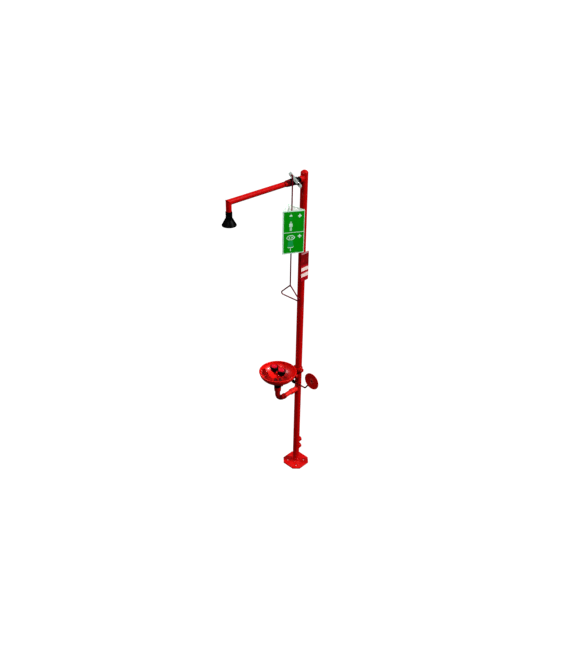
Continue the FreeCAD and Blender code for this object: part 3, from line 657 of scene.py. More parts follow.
def make_sockets():
    """The two threaded building connections at the column's back."""
    bore, shoulder, pitch, cut = 15.15, 25.0, 2.3, 0.9
    for node, name, passage in (("water_inlet_socket", "inlet_socket", 12.0),
                                ("drain_outlet_socket", "outlet_socket", 10.1)):
        tip = highest(node).y / MM
        outer = span(node).x / 2 / MM
        outline = [(outer - 0.2, 13.0), (outer, 14.0), (outer, tip - 1.6), (outer - 1.5, tip),
                   (bore + 0.75, tip), (bore + 0.05, tip - 1.2)]
        outline += threaded(bore, shoulder + 1.0, tip - 1.5, pitch, cut, True)[::-1]
        outline += [(bore, shoulder), (passage, shoulder), (passage, 19.0)]
        mesh = lathe(metres(outline), UP * middle(node).z, BACK)
        keep(name, mesh, cap_red, "frame", [node])


def hex_nut(mesh, flats, length, bore, at, axis):
    """Add a chamfered hexagonal nut, millimetres, starting at a point."""
    return lathe(hex_outline(flats, 0.0, length, bore), at, axis, 96, hexed(flats, 0.0, length), mesh)


def bolt_end(mesh, radius, length, at, axis):
    """Add a threaded bolt end with a chamfered tip."""
    pitch, cut, chamfer = 1.0, 0.35, 0.7
    outline = [(0, 0)] + threaded(radius, 0.0, length - 0.8, pitch, cut)
    outline += [(radius, length - chamfer), (radius - chamfer, length), (0, length)]
    return lathe(metres(outline), at, axis, 32, None, mesh)


def washer(mesh, outer, inner, thick, at, axis):
    corners = [(inner, 0, 0), (outer, 0, 0.3), (outer, thick, 0.4), (inner, thick, 0.2)]
    return lathe(rounded(corners), at, axis, 48, None, mesh)


# ---- ball valves ----
def make_valve(prefix, nodes, pipe_r, ball):
    """Cast body with a hexagonal end, a screwed-in end piece and a stem boss."""
    body_node, end_node, nipple_node = nodes
    y_low = min(lowest(body_node).y, lowest(end_node).y)
    y_high = max(highest(body_node).y, highest(end_node).y)
    centre = Vector((0, (y_low + y_high) / 2, middle(body_node).z))
    half = (y_high - y_low) / 2 / MM
    outer = span(body_node).z / 2 / MM
    flats = outer * 1.86
    mouth = pipe_r / MM + 0.1
    bore = ball * 0.6
    depth = 12
    nut = 14.0
    body_end = ball - 1.0
    corner = flats / 2 / cos(radians(30))

    def hex_end(r, h, angle):
        if r < flats / 2 * 0.97:
            return r
        if h < (-half + nut) * MM:
            return min(r, hexed(flats, -half, half)(corner * MM, max(h, -half * MM), angle))
        return r
    levels = [(mouth, -half), (flats * 0.47, -half)]
    levels += [(corner, -half + 0.4 * k) for k in range(6)]
    levels += [
        (corner, -half + nut - 0.05), (outer - 1.6, -half + nut), (outer - 1.6, -half + nut + 1.5),
        (outer - 0.5, -half + nut + 3), (outer, -half + nut + 6), (outer, body_end - 4),
        (outer - 0.5, body_end - 1), (outer - 1.0, body_end), (ball + 1, body_end), (ball + 1, -body_end),
        (bore, -body_end), (bore, depth - half), (mouth, depth - half)]
    mesh = lathe(metres(levels), centre, FRONT, 96, hex_end)
    boss_r = ball * 0.31 + 5.0
    boss_end = span(body_node).x / MM - outer
    boss = [(ball * 0.25, ball * 0.95, 0), (outer * 0.72, ball * 0.9, 0), (boss_r + 1.8, outer - 2.0, 2.5),
            (boss_r, outer + 2.5, 1.0), (boss_r, boss_end, 0.8), (ball * 0.34, boss_end, 0)]
    lathe(rounded(boss), centre, RIGHT, 64, None, mesh)
    keep(prefix + "_valve_casting", mesh, valve_black, "frame", [body_node], HEX_CREASE)

    levels = [(bore, body_end), (outer - 1.0, body_end + 0.2), (outer - 0.4, body_end + 1.2)]
    levels += [(corner, body_end + 2.0), (corner, half - 2.2)]
    levels += [(corner, half - 0.4 * k) for k in range(5, 0, -1)]
    levels += [(flats * 0.47, half), (mouth, half), (mouth, half - depth), (bore, half - depth)]
    end_rule = hexed(flats, body_end + 0.5, half)

    def hex_tip(r, h, angle):
        return r if r < corner * MM - 1e-5 else end_rule(r, min(h, half * MM), angle)
    mesh = lathe(metres(levels), centre, FRONT, 96, hex_tip)
    keep(prefix + "_valve_cap_end", mesh, valve_black, "frame", [end_node], HEX_CREASE)

    length = span(nipple_node).y / MM
    wall, chamfer, pitch, cut = 3.0, 0.6, 2.3, 0.7
    r = pipe_r / MM
    outline = [(r - wall, 0), (r - chamfer, 0)] + threaded(r, chamfer, length - chamfer, pitch, cut)
    outline += [(r - chamfer, length), (r - wall, length)]
    mesh = lathe(metres(outline), Vector((0, highest(nipple_node).y, centre.z)), FRONT, 72)
    keep(prefix + "_threaded_nipple", mesh, valve_black, "frame", [nipple_node])


def make_gland_nuts():
    mesh = bmesh.new()
    for node, pivot, bore, flats, length in (("shower_valve_body", LEVER_PIVOT, 6.1, 20.0, 5.5),
                                             ("eyewash_valve_body", PADDLE_PIVOT, 5.1, 18.0, 5.0)):
        at = Vector((highest(node).x, pivot.y, middle(node).z))
        hex_nut(mesh, flats, length, bore, at, RIGHT)
    keep("gland_nut_pair", mesh, steel, "frame", ["gland_nuts"], HEX_CREASE)


def make_arm_collar():
    """Union collar between the shower valve and the arm: a ribbed ring that tapers to the pipe."""
    node = "arm_union_collar"
    length = span(node).y / MM
    outer = span(node).x / 2 / MM
    bore = PIPE_R / MM + 0.05
    ribs = 12

    def grip(r, h, angle):
        held = 2.5 * MM < h < (length - 10.5) * MM and r > (outer - 0.5) * MM
        return r - (0.7 * MM * max(0.0, cos(ribs * angle)) if held else 0)
    levels = [(bore, 0, 0), (outer - 1.5, 0, 0.3), (outer, 1.6, 0.5), (outer, 3.0, 0), (outer, 4.0, 0)]
    levels += [(outer, length - 12.5, 0), (outer, length - 11.0, 0), (outer, length - 9.6, 0.6)]
    levels += [(outer - 1.6, length - 7.6, 0.8), (outer - 2.2, length, 0.5), (bore, length, 0)]
    mesh = lathe(rounded(levels), Vector((0, highest(node).y, LEVER_PIVOT.z)), FRONT, 144, grip)
    # The collar's darker red is painted shade, its shadow under the valve and lever.
    keep("arm_collar_ring", mesh, red_painted_shade, "frame", [node])


# ---- shower lever, pull rod ----
def make_lever():
    front, rear = 106.0, -33.0
    base = Vector((lowest("shower_lever").x, LEVER_PIVOT.y, LEVER_PIVOT.z))
    thick = span("shower_lever").x
    raised = base + RIGHT * (thick - 0.3 * MM)
    for name, start, end, half, height, foot, bevel, stands_for in (
            ("lever_plate", rear, front, 11.0, thick, base, 0.7, ["shower_lever"]),
            ("lever_rib", 22, 72, 4.2, 1.3 * MM, raised, 0.9, ()),
            ("lever_tail_rib", rear + 2, rear + 12, 4.2, 1.1 * MM, raised, 0.8, ())):
        mesh = prism(stadium(0, start, 0, end, half), height, foot, LEVER_SIDE, LEVER_WAY, bevel * MM)
        keep(name, mesh, lever_grey, "shower_lever", stands_for)

    face = base + RIGHT * thick
    mesh = washer(bmesh.new(), 11.0, 6.0, 1.5, face, RIGHT)
    hex_nut(mesh, 18.0, 5.0, 6.0, face + RIGHT * 1.5 * MM, RIGHT)
    keep("lever_nut", mesh, steel, "shower_lever", ["lever_nut_and_washer"], HEX_CREASE)
    mesh = bolt_end(bmesh.new(), 5.95, 7.6, face + RIGHT * 0.4 * MM, RIGHT)
    keep("lever_stud_thread", mesh, steel, "shower_lever")


def make_pull_rod():
    radius = ROD_R
    hook_tip = lowest("pull_rod").x
    axis_x = highest("pull_rod").x - radius
    z_top = ROD_HOLE.z
    z_low = highest("pull_handle").z - radius

    def spot(x, z):
        return Vector((x, ROD_HOLE.y, z))
    route = [spot(hook_tip, z_top), spot(axis_x, z_top), spot(axis_x, z_low + 1 * MM)]
    mesh = sweep(path_points(route, 8 * MM), radius, BACK)
    keep("pull_rod_bar", mesh, rod_red, "pull_rod", ["pull_rod"])

    bottom = lowest("pull_handle").z + radius
    half = 94 * MM
    peak = 1640 * MM
    corners = [spot(axis_x, peak), spot(axis_x - half, bottom), spot(axis_x + half, bottom)]
    mesh = sweep(path_points(corners, 12 * MM, True), radius, BACK, True)
    keep("pull_handle_loop", mesh, rod_red, "pull_rod", ["pull_handle"])
    blob = [(0, -7, 0), (3.6, -6, 1.5), (5.2, -1, 2), (4.6, 5, 2), (3.6, 10, 0.8), (0, 10, 0)]
    mesh = lathe(rounded(blob, False), spot(axis_x, z_low), UP, 32)
    keep("handle_weld", mesh, rod_red, "pull_rod")

    bore, length = radius / MM, span("rod_clip").x / MM
    outline = rounded([(bore, 0, 0.2), (7.0, 0, 0.6), (7.0, length, 0.6), (bore, length, 0.2)])
    mesh = lathe(outline, spot(lowest("rod_clip").x, z_top), RIGHT, 40)
    keep("hook_clip", mesh, steel, "pull_rod", ["rod_clip"])


# ---- sign sleeve ----
SIGN_SIDE = 142.0
SIGN_REACH = SIGN_SIDE / (2 * sqrt(3))
PLUS = (11.8, 4.2)      # reach and half width of a first aid mark


def sleeve_ring(side, fillet, height):
    """Corners of a rounded triangle round the pull rod at a height."""
    ring = []
    reach = (side / sqrt(3) - 2 * fillet) * MM
    for corner in (-90, 30, 150):
        centre = flat(ROD, height) + spoke(radians(corner)) * reach
        for k in range(7):
            ring.append(centre + spoke(radians(corner - 60 + 20 * k)) * fillet * MM)
    return ring


def sleeve_walls(levels):
    """Skin a closed loop of triangular rings, each given as (side, fillet, height)."""
    mesh = bmesh.new()
    rings = [[mesh.verts.new(point) for point in sleeve_ring(*level)] for level in levels]
    skin(mesh, rings, True)
    return mesh


def make_sleeve():
    z_low, z_high = lowest("sign_sleeve").z, highest("sign_sleeve").z
    wall = 2.5
    inner_side = SIGN_SIDE - wall * 2 * sqrt(3)
    lip = 0.6 * MM
    outer, inner = (SIGN_SIDE, 1.0), (inner_side, 1.0)
    trimmed = (SIGN_SIDE - 2.0, 0.8)
    relieved = (inner_side + 2.0, 1.2)
    levels = [(*trimmed, z_low), (*outer, z_low + lip), (*outer, z_high - lip), (*trimmed, z_high),
              (*relieved, z_high), (*inner, z_high - lip), (*inner, z_low + lip), (*relieved, z_low)]
    keep("sign_sleeve_shell", sleeve_walls(levels), white, "pull_rod", ["sign_sleeve"])

    film = 0.2
    lined, open_side = (inner_side + 0.1, 1.0), (inner_side - 2 * film * sqrt(3), 1.0)
    bare = 4 * MM
    levels = [(*lined, z_low + bare), (*lined, z_high - bare), (*open_side, z_high - bare),
              (*open_side, z_low + bare)]
    # The lining's glow is painted light.
    keep("sign_sleeve_lining", sleeve_walls(levels), lining, "pull_rod")


def plus(u, v, reach, half):
    """A plus sign, the mark of first aid."""
    outline = []
    for turn in range(4):
        for x, y in ((half, half), (half, reach), (-half, reach)):
            angle = radians(90 * turn)
            outline.append(((u + x * cos(angle) - y * sin(angle)) * MM,
                            (v + x * sin(angle) + y * cos(angle)) * MM))
    return outline


def ellipse(u, v, a, b, steps=40):
    return [((u + a * cos(FULL_TURN * k / steps)) * MM, (v + b * sin(FULL_TURN * k / steps)) * MM)
            for k in range(steps)]


def shower_mark():
    """A person under a shower head, and the first aid mark; heights in millimetres from the top."""
    u = -17.0
    shapes = [arc(u, -34.0, 8.5, 0, 180), round_rect(u - 10, -36.5, u + 10, -34.0, 1.0),
              round_rect(u - 1.4, -26.5, u + 1.4, -17.0, 0.6)]
    shapes += [ellipse(u, -73.0, 4.4, 5.0), round_rect(u - 7.0, -106.0, u + 7.0, -79.5, 4.0)]
    shapes += [stadium(u + side * 9.0, -83.0, u + side * 9.6, -102.0, 1.7) for side in (-1, 1)]
    shapes += [stadium(u + side * 3.6, -103.0, u + side * 3.6, -127.0, 2.7) for side in (-1, 1)]
    return shapes + [plus(39.0, -36.0, *PLUS)]


def falling_water():
    """Rows of drops under the shower head, and the jets that rise to the eye."""
    u = -17.0
    drops = []
    for row, count in ((-42.0, 3), (-49.0, 4), (-56.0, 3)):
        for k in range(count):
            x = u + (k - (count - 1) / 2) * 5.6
            drops.append(stadium(x, row - 2.0, x, row + 1.0, 1.1))
    jets = [(u - 20, -234), (u + 20, -234), (u + 14, -197), (u - 14, -197)]
    return drops + [[(x * MM, y * MM) for x, y in jets]]


def eyewash_mark():
    """A basin on a stem, and the first aid mark."""
    u = -16.5
    shapes = [round_rect(u - 17.5, -242.5, u + 17.5, -237.5, 2.2)]
    shapes += [round_rect(u - 2.5, -264, u + 2.5, -240, 0.8)]
    shapes += [stadium(u + side * 15, -239.5, u + side * 18, -235.5, 1.5) for side in (-1, 1)]
    return shapes + [plus(41.0, -168.0, *PLUS)]


def print_film(outlines, film, base, across):
    """Outlines of (across, up) metres as one thin printed layer."""
    mesh = bmesh.new()
    for outline in outlines:
        prism(outline, film, base, across, UP, 0.0, mesh)
    return mesh


def make_prints():
    """Green panels and white pictograms, the same on all three faces of the sleeve."""
    film = 0.16 * MM
    panels = (round_rect(-62, -138.5, 66.5, -7, 1.5), round_rect(-62, -275.5, 66.5, -142.5, 1.5))
    eye = (-17.0, -174.5)
    layers = (("sign_panels", panels, 0.0, green), ("sign_water", falling_water(), 0.6, ink_pale),
              ("sign_marks", shower_mark() + eyewash_mark() + [ellipse(*eye, 27, 16.5)], 0.6, ink_white),
              ("sign_eye_field", [ellipse(*eye, 21.5, 11.5)], 1.2, green),
              ("sign_eye", [ellipse(*eye, 14.0, 6.4)], 1.8, ink_white),
              ("sign_iris", [ellipse(*eye, 5.6, 5.6)], 2.4, green))
    for face, bearing in enumerate((-30, 90, 210)):
        outward = spoke(radians(bearing))
        base = flat(ROD, highest("sign_sleeve").z) + outward * (SIGN_REACH - 0.02) * MM
        for name, outlines, level, material in layers:
            mesh = print_film(outlines, film * 0.6, base + outward * film * level, UP.cross(outward))
            keep(name + "_" + str(face), mesh, material, "pull_rod")


def make_set_screws():
    """A socket set screw in each of the two collars that carry the sign."""
    collar_r = span("sign_stop_collars").x / 2
    outline = metres([(0, -2.5), (1.7, -2.5), (1.8, -0.3), (1.5, 0), (0.95, 0), (0.95, -1.4), (0, -1.4)])
    for k, z in enumerate(near_ends("sign_stop_collars")):
        mesh = lathe(outline, Vector((ROD.x + collar_r - 0.3 * MM, ROD.y, z)), RIGHT, 24)
        keep("set_screw_" + str(k), mesh, steel, "pull_rod")


# ---- instruction plate ----
def make_plate():
    """Plate on the column's side; upright distances are in millimetres below its top edge."""
    node_low, node_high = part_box("instruction_plate")
    half = (node_high.y - node_low.y) / 2 / MM
    tall = (node_high.z - node_low.z) / MM
    back = Vector((node_low.x, 0, node_high.z))
    thick = node_high.x - node_low.x
    mesh = prism(round_rect(-half, -tall, half, 0, 6.0), thick, back, BACK, UP, 0.4 * MM)
    keep("plate_panel", mesh, plate_red, "frame", ["instruction_plate"])
    face = back + RIGHT * (thick - 0.02 * MM)
    film = 0.14 * MM
    edge = half - 2.0
    stripes = [round_rect(-edge, -134, edge, -107, 1.0), round_rect(-edge, -177, edge, -150, 1.0)]
    drop = arc(-14, -62, 9.5, 150, 390, 20) + [(-14 * MM, -42 * MM)]
    arrow = metres([(10, -38), (18, -38), (18, -58), (25, -58), (14, -74), (3, -58), (10, -58)])
    for name, outlines, level, material in (
            ("plate_top_strip", [round_rect(-edge, -12.0, edge, -1.5, 4.0)], 0, plate_grey),
            ("plate_dark_field", [round_rect(-edge, -92.0, edge, -14.0, 1.0)], 0, plate_dark),
            ("plate_stripes", stripes, 0, plate_cream), ("plate_marks", [drop, arrow], 1, plate_mark)):
        mesh = print_film(outlines, film, face + RIGHT * film * level, BACK)
        keep(name, mesh, material, "frame")


def make_rivets():
    mesh = bmesh.new()
    face = highest("instruction_plate").x
    outline = rounded([(0, -0.5, 0), (4.5, -0.5, 0), (4.5, 0.4, 0.3), (3.4, 1.7, 1.2), (0, 2.3, 0)], False)
    for z in near_ends("plate_rivets"):
        lathe(outline, Vector((face, 0, z)), RIGHT, 40, None, mesh)
    keep("plate_rivet_heads", mesh, rivet_steel, "frame", ["plate_rivets"])


# ---- shower head ----
def make_shower_head():
    at = flat(HEAD, 0)
    nut_low, nut_high = levels_of("shower_head_nut")
    grip = 26.0
    hex_low = nut_high - grip
    bore = PIPE_R / MM + 0.1
    knurl = fluted(0.35, 36, nut_low - 1, hex_low - 2, 18)
    skirt = rounded([(bore, nut_low, 0), (19.2, nut_low, 0.6), (19.2, hex_low - 2.2, 0.5),
                     (18.2, hex_low - 1.6, 0), (18.2, hex_low, 0), (bore, hex_low, 0)])
    mesh = lathe(skirt, at, UP, 180, knurl)
    hex_nut(mesh, 36.0, grip, bore, flat(at, hex_low * MM), UP)
    keep("shower_coupling_nut", mesh, black, "frame", ["shower_head_nut"], HEX_CREASE)

    z_low, z_high = levels_of("shower_head_shell")
    outline = rounded([
        (10, z_high, 0), (24, z_high, 1.5), (26, z_high - 6, 4), (34, z_high - 20, 60),
        (42.0, z_high - 35, 5), (42.5, z_low + 4, 1), (42.5, z_low, 1.0), (40.2, z_low, 0.8),
        (40.0, z_high - 34.5, 3), (23.5, z_high - 4.5, 2), (10, z_high - 4.5, 0)])
    mesh = lathe(outline, at, UP, 128)
    keep("shower_bell", mesh, black, "frame", ["shower_head_shell"])
    for k, (ring_r, height) in enumerate(((42.45, z_low + 4.0), (42.4, z_low + 6.6), (25.2, z_high - 3.6))):
        bead = band(ring_r - 1, ring_r + 0.35, height - 0.6, height + 0.6, 0.3)
        keep("shower_bell_bead_" + str(k), lathe(bead, at, UP, 128), black, "frame")

    face = lowest("shower_spray_plate").z / MM
    tip = metres([(0.8, face - 1.6), (1.5, face - 1.6), (2.5, face + 0.3), (1.5, face + 0.3)])
    mesh = bmesh.new()
    for ring_r, holes in ((0, 1), (10, 6), (20, 12), (30, 18)):
        for k in range(holes):
            lathe(tip, at + spoke(FULL_TURN * k / holes) * ring_r * MM, UP, 16, None, mesh)
    keep("spray_nozzles", mesh, rubber, "frame")


# ---- eyewash ----
def make_bowl():
    """Pressed bowl with a rolled rim: an ellipse in section, as its CAD solid is."""
    at = flat(BOWL, BOWL_RIM_Z)
    radius, depth, sheet, hole = 130.0, 80.0, 2.5, 20.0
    steps = 40
    turn_out = acos(hole / radius)

    def quarter(a, b, upto, count):
        return [Vector((a * cos(upto * k / count), -b * sin(upto * k / count))) * MM
                for k in range(count + 1)]
    outside = quarter(radius, depth, turn_out, steps)
    inside = quarter(radius - sheet, depth - sheet, acos(hole / (radius - sheet)), steps)
    bead = [Vector((129 + 3.2 * cos(radians(a)), 3.2 * sin(radians(a)))) * MM
            for a in range(205, -26, -15)]
    outline = outside[::-1][:-1] + bead[::-1] + inside[1:]
    mesh = lathe(outline, at, UP, 160)
    keep("eyewash_bowl_skin", mesh, bowl_red, "frame", ["eyewash_bowl"], crease=50)


def make_neck():
    """Black neck under the bowl, with its grips and flange, and the bands on the supply tee; the black ring on the
    tee's top is drawn tall as painted shade.
    """
    at = flat(BOWL, 0)
    z_low, z_high = levels_of("waste_supply_neck")
    flange = z_high - 6.5
    grips = fluted(0.55, 20, z_low + 13, flange - 9, 21)
    outline = rounded([
        (17, z_low, 0), (20, z_low, 0), (20, z_low + 10, 0), (22, z_low + 10, 0.8),
        (22.0, z_low + 12.5, 0), (22, z_low + 14, 0), (22, flange - 10, 0), (22, flange - 8, 0),
        (24, flange - 6.5, 1.5), (30, flange - 5, 1.5), (30, flange, 1.0), (19.5, flange, 0),
        (19.5, z_high, 0.5), (17, z_high, 0)])
    mesh = lathe(outline, at, UP, 160, grips)
    keep("bowl_neck", mesh, black, "frame", ["waste_supply_neck"])
    tee_low, tee_top = levels_of("supply_tee")
    # A black sealing ring, made 15 mm tall so that its black also paints the bowl's shadow across the tee's top:
    # partly a real ring, partly painted shade.
    sealing_and_shade_band = rounded([(23, tee_top - 15, 0), (25.7, tee_top - 15, 0.8), (25.7, tee_top - 0.5, 1.2),
                       (21.0, tee_top + 0.4, 0)])
    keep("tee_ring_and_painted_shade", lathe(sealing_and_shade_band, at, UP, 112), black, "frame")
    # The tee's bands take the darker fitting red, which is painted shade.
    foot = band(20.2, 23.1, tee_low - 0.5, tee_low + 5.5, 0.9)
    keep("tee_lower_band", lathe(foot, at, UP, 112), fitting_red_painted_shade, "frame")
    mouth = Vector((0, highest("supply_tee").y, PADDLE_PIVOT.z))
    boss = lathe(band(12, 15.2, -7, 0, 1.0), mouth, BACK, 80)
    keep("tee_boss_band", boss, fitting_red_painted_shade, "frame")


def make_drain_beads():
    """Beads on the mouth of the drain elbow and round the union at the column."""
    elbow_end, union_start = highest("drain_elbow").y, lowest("drain_union").y
    union_r = span("drain_union").x / 2 / MM - 0.6
    # The elbow beads' darker red is painted shade; the union beads' lighter red is painted light.
    for name, y, r, material in (("elbow_mouth", elbow_end, 19.6, fitting_red_painted_shade),
                                 ("elbow_neck", elbow_end - 14 * MM, 18.0, fitting_red_painted_shade),
                                 ("union_near", union_start + 7 * MM, union_r, pipe_red_painted_light),
                                 ("union_far", union_start + 25 * MM, union_r, pipe_red_painted_light)):
        at = Vector((0, y, middle("drain_pipe").z))
        mesh = lathe(band(r - 1.0, r + 1.5, -5.0, 0, 1.4), at, BACK, 96)
        keep("drain_bead_" + name, mesh, material, "frame")


def make_cups():
    """Flared rubber eye cups and the moulded dust caps that sit in them."""
    z_low, z_high = levels_of("eyewash_heads")
    mesh = bmesh.new()
    flutes = fluted(0.45, 24, z_low + 4, z_high - 11, 13.5)
    for node, body in (("dust_cap_left", "left_cap"), ("dust_cap_right", "right_cap")):
        spot = flat(middle(node), 0)
        outline = rounded([
            (8.05, z_low, 0), (13, z_low, 0.8), (14.5, z_low + 4, 2), (21, z_low + 12, 6),
            (25.5, z_low + 22, 8), (28.6, z_high - 9.0, 2), (29.5, z_high - 7.5, 1), (29.5, z_high, 2.2),
            (22.0, z_high, 1.4), (21.9, z_high - 15, 0), (22.5, z_high - 15, 0), (22.5, z_high - 20, 0),
            (12, z_low + 7, 0), (8.05, z_low + 7, 0)])
        lathe(outline, spot, UP, 144, flutes, mesh)
        cap_low, lid = levels_of(node)
        outline = rounded([
            (0, lid - 4, 0), (19.1, lid - 4, 0), (19.1, cap_low, 0.2), (21.6, cap_low, 0.4),
            (21.6, lid - 0.2, 1.6), (19.6, lid - 0.1, 1.0), (18.6, lid - 1.3, 1.0), (8.6, lid - 1.1, 0.6),
            (8.0, lid - 0.3, 0.4), (6.6, lid - 0.3, 0.4), (6.0, lid - 1.1, 0.6),
            (0, lid - 1.1, 0)], False)
        cap = lathe(outline, spot, UP, 112)
        keep(node + "_moulding", cap, crimson, body, [node])
    keep("eye_cups", mesh, cup_black, "frame", ["eyewash_heads"])


def make_paddle():
    """Dished push plate with a raised ring and an open hand, its hub and its bent rod."""
    face = lowest("push_paddle").y
    radius = span("push_paddle").x / 2 / MM
    rod_r = span("paddle_rod").y / 2
    back_y = PADDLE_PIVOT.y - rod_r - 2.0 * MM
    thick = (back_y - face) / MM
    outline = rounded([
        (0, 0, 0), (radius - 3.5, 0, 1.0), (radius - 0.5, 0.6, 1.6), (radius, thick - 2.2, 1.6),
        (radius - 2.2, thick, 1.8), (radius - 5.0, thick - 0.6, 1.5), (radius - 8, thick - 2.4, 2.0),
        (radius - 14, thick - 2.2, 0.6), (radius - 15, thick - 1.5, 0.6),
        (radius - 17.5, thick - 1.5, 0.6), (radius - 18.5, thick - 2.4, 0.6), (0, thick - 2.8, 0)], False)
    at = Vector((PADDLE.x, back_y, PADDLE.z))
    mesh = lathe(outline, at, FRONT, 144)
    hub = rounded([(0, -9, 0), (8.5, -9, 1.5), (10, -3, 2), (14, 0.8, 3), (0, 0.8, 0)], False)
    lathe(hub, at, FRONT, 48, None, mesh)
    keep("paddle_dish", mesh, red_dark, "push_paddle", ["push_paddle"])

    hand = [stadium(0, -13, 0, -4, 11.0)]
    for u, tip, lean in ((-8.3, 17, -1.5), (-2.9, 21, -0.5), (2.7, 20, 0.5), (8.0, 15, 1.5)):
        hand.append(stadium(u, -2, u + lean, tip, 2.35))
    hand.append(stadium(8, -12, 17.5, -1.5, 2.6))
    mesh = bmesh.new()
    for outline in hand:
        prism(outline, 1.1 * MM, at + FRONT * (thick - 3.0) * MM, RIGHT, UP, 0.4 * MM, mesh)
    keep("paddle_hand_mark", mesh, mark_red, "push_paddle")

    hub_low, hub_high = lowest("paddle_hub").x / MM, highest("paddle_hub").x / MM
    outline = rounded([
        (5.05, hub_low, 0.2), (12, hub_low, 1.2), (12, hub_low + 15, 0.6), (11, hub_low + 15.8, 0.5),
        (11, hub_high - 2, 1.0), (9.5, hub_high, 1.0), (5.05, hub_high, 0.2)])
    at = Vector((0, PADDLE_PIVOT.y, PADDLE_PIVOT.z))
    mesh = lathe(outline, at, RIGHT, 72)
    keep("paddle_hub_turning", mesh, valve_black, "push_paddle", ["paddle_hub"])
    bend = 148 * MM
    route = [at + RIGHT * (hub_high - 11) * MM, at + RIGHT * bend, Vector((PADDLE.x, at.y, PADDLE.z))]
    mesh = sweep(path_points(route, 16 * MM), rod_r, BACK)
    # The rod's darker red is painted shade.
    keep("paddle_rod_bar", mesh, red_painted_shade, "push_paddle", ["paddle_rod"])


# ---- clamp ----
def make_clamp():
    """Bolts through the clamp's ears: the head end in front, the nut end behind."""
    z = middle("clamp_bolts").z
    mesh = bmesh.new()
    for x in (-35 * MM, 35 * MM):
        for way, nut_length, stud_start, stud_length in ((BACK, 4.2, 10.4, 3.2), (FRONT, 4.8, 9.2, 7.0)):
            axis = Vector((x, 0, z))
            hex_nut(mesh, 10.0, nut_length, 2.9, axis + way * 9.2 * MM, way)
            bolt_end(mesh, 3.0, stud_length, axis + way * stud_start * MM, way)
            washer(mesh, 6.0, 3.0, 1.2, axis + way * 8.0 * MM, way)
        shank = [(0, -8.0), (3.0, -8.0), (3.0, 8.0), (0, 8.0)]
        lathe(metres(shank), Vector((x, 0, z)), BACK, 32, None, mesh)
    keep("clamp_fasteners", mesh, bolt_red, "frame", ["clamp_bolts"], HEX_CREASE)


# ---- stage ----
def make_stage():
    """A pale floor that curves up into a backdrop far away on every side."""
    reach, cove, height, sides, cove_steps = 40.0, 20.0, 60.0, 96, 12
    flat_r = reach - cove
    profile = [(flat_r, 0)]
    for k in range(1, cove_steps + 1):
        turn = radians(90 * k / cove_steps)
        profile.append((flat_r + cove * sin(turn), cove - cove * cos(turn)))
    profile.append((reach, height))
    mesh = bmesh.new()
    rings = [[mesh.verts.new(spoke(FULL_TURN * k / sides) * r + UP * z) for k in range(sides)]
             for r, z in profile]
    mesh.faces.new(rings[0])
    skin(mesh, rings)
    data = bpy.data.meshes.new("floor")
    mesh.to_mesh(data)
    mesh.free()
    data.shade_smooth()
    floor = add_object("floor", data)
    floor.visible_diffuse = False
    floor.visible_glossy = False
    floor.visible_shadow = False
    r = Recipe("floor_pale")
    r.colour(r.blend(r.noise(3.0, 4.0), (0.12, 0.12, 0.12), (0.13, 0.13, 0.13)))
    r.set(Roughness=0.9, Emission_Color=(1.0, 1.0, 1.0, 1.0), Emission_Strength=0.9)
    data.materials.append(r.material)


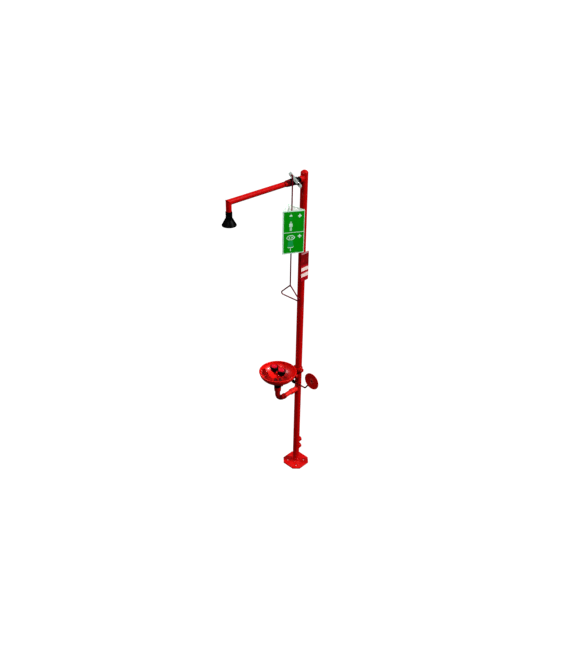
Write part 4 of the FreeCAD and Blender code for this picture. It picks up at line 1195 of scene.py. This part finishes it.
def make_world():
    """A dim studio: light grey overhead, falling to dark below the horizon."""
    world = bpy.data.worlds.new("studio")
    bpy.context.scene.world = world
    world.use_nodes = True
    nodes, link = world.node_tree.nodes, world.node_tree.links.new
    axes = nodes.new("ShaderNodeSeparateXYZ")
    height = nodes.new("ShaderNodeMapRange")
    height.inputs["From Min"].default_value = -1.0
    ramp = nodes.new("ShaderNodeValToRGB")
    stops = ((0.0, 0.05), (0.45, 0.03), (0.6, 0.1), (0.9, 0.24))
    while len(ramp.color_ramp.elements) < len(stops):
        ramp.color_ramp.elements.new(0.5)
    for element, (position, level) in zip(ramp.color_ramp.elements, stops):
        element.position = position
        element.color = (level, level, level, 1.0)
    link(nodes.new("ShaderNodeTexCoord").outputs["Generated"], axes.inputs[0])
    link(axes.outputs["Z"], height.inputs["Value"])
    link(height.outputs["Result"], ramp.inputs["Fac"])
    link(ramp.outputs["Color"], nodes["Background"].inputs["Color"])
    nodes["Background"].inputs["Strength"].default_value = 0.8
    bpy.context.scene.view_settings.view_transform = "Standard"
    bpy.context.scene.view_settings.look = "Medium High Contrast"


# name, strength, then the disc's width, azimuth and elevation in degrees
SUNS = (("key_light", 2.8, 7, 27, 38), ("fill_front", 0.6, 12, -64, 40), ("fill_left", 1.1, 12, -142, 50))


def make_lights():
    for name, energy, size, azimuth, elevation in SUNS:
        sun = bpy.data.lights.new(name, "SUN")
        sun.energy = energy
        sun.angle = radians(size)
        lift = radians(elevation)
        toward = spoke(radians(azimuth)) * cos(lift) + UP * sin(lift)
        add_object(name, sun).rotation_euler = toward.to_track_quat("Z", "Y").to_euler()


def make_camera():
    camera = bpy.data.cameras.new("camera")
    camera.sensor_width = 36.0
    camera.lens = 35.83
    camera.shift_x = 0.0184
    camera.shift_y = -0.0112
    holder = add_object("camera", camera)
    holder.location = (2.611, -2.9352, 3.5388)
    yaw, pitch, roll = radians(44.4), radians(29.69), radians(0.381)
    turn = (Matrix.Rotation(yaw, 4, "Z") @ Matrix.Rotation(pi / 2 - pitch, 4, "X")
            @ Matrix.Rotation(roll, 4, "Z"))
    holder.rotation_euler = turn.to_euler()
    bpy.context.scene.camera = holder


make_stage()
make_world()
make_lights()
make_camera()
dress_cad_nodes()
make_welds()
make_sockets()
make_valve("shower", ("shower_valve_body", "shower_valve_end", "shower_nipple"), PIPE_R, 18.0)
make_valve("eyewash", ("eyewash_valve_body", "eyewash_valve_end", "eyewash_nipple"), EYE_PIPE_R, 11.5)
make_gland_nuts()
make_arm_collar()
make_lever()
make_pull_rod()
make_sleeve()
make_prints()
make_set_screws()
make_plate()
make_rivets()
make_shower_head()
make_bowl()
make_neck()
make_drain_beads()
make_cups()
make_paddle()
make_clamp()
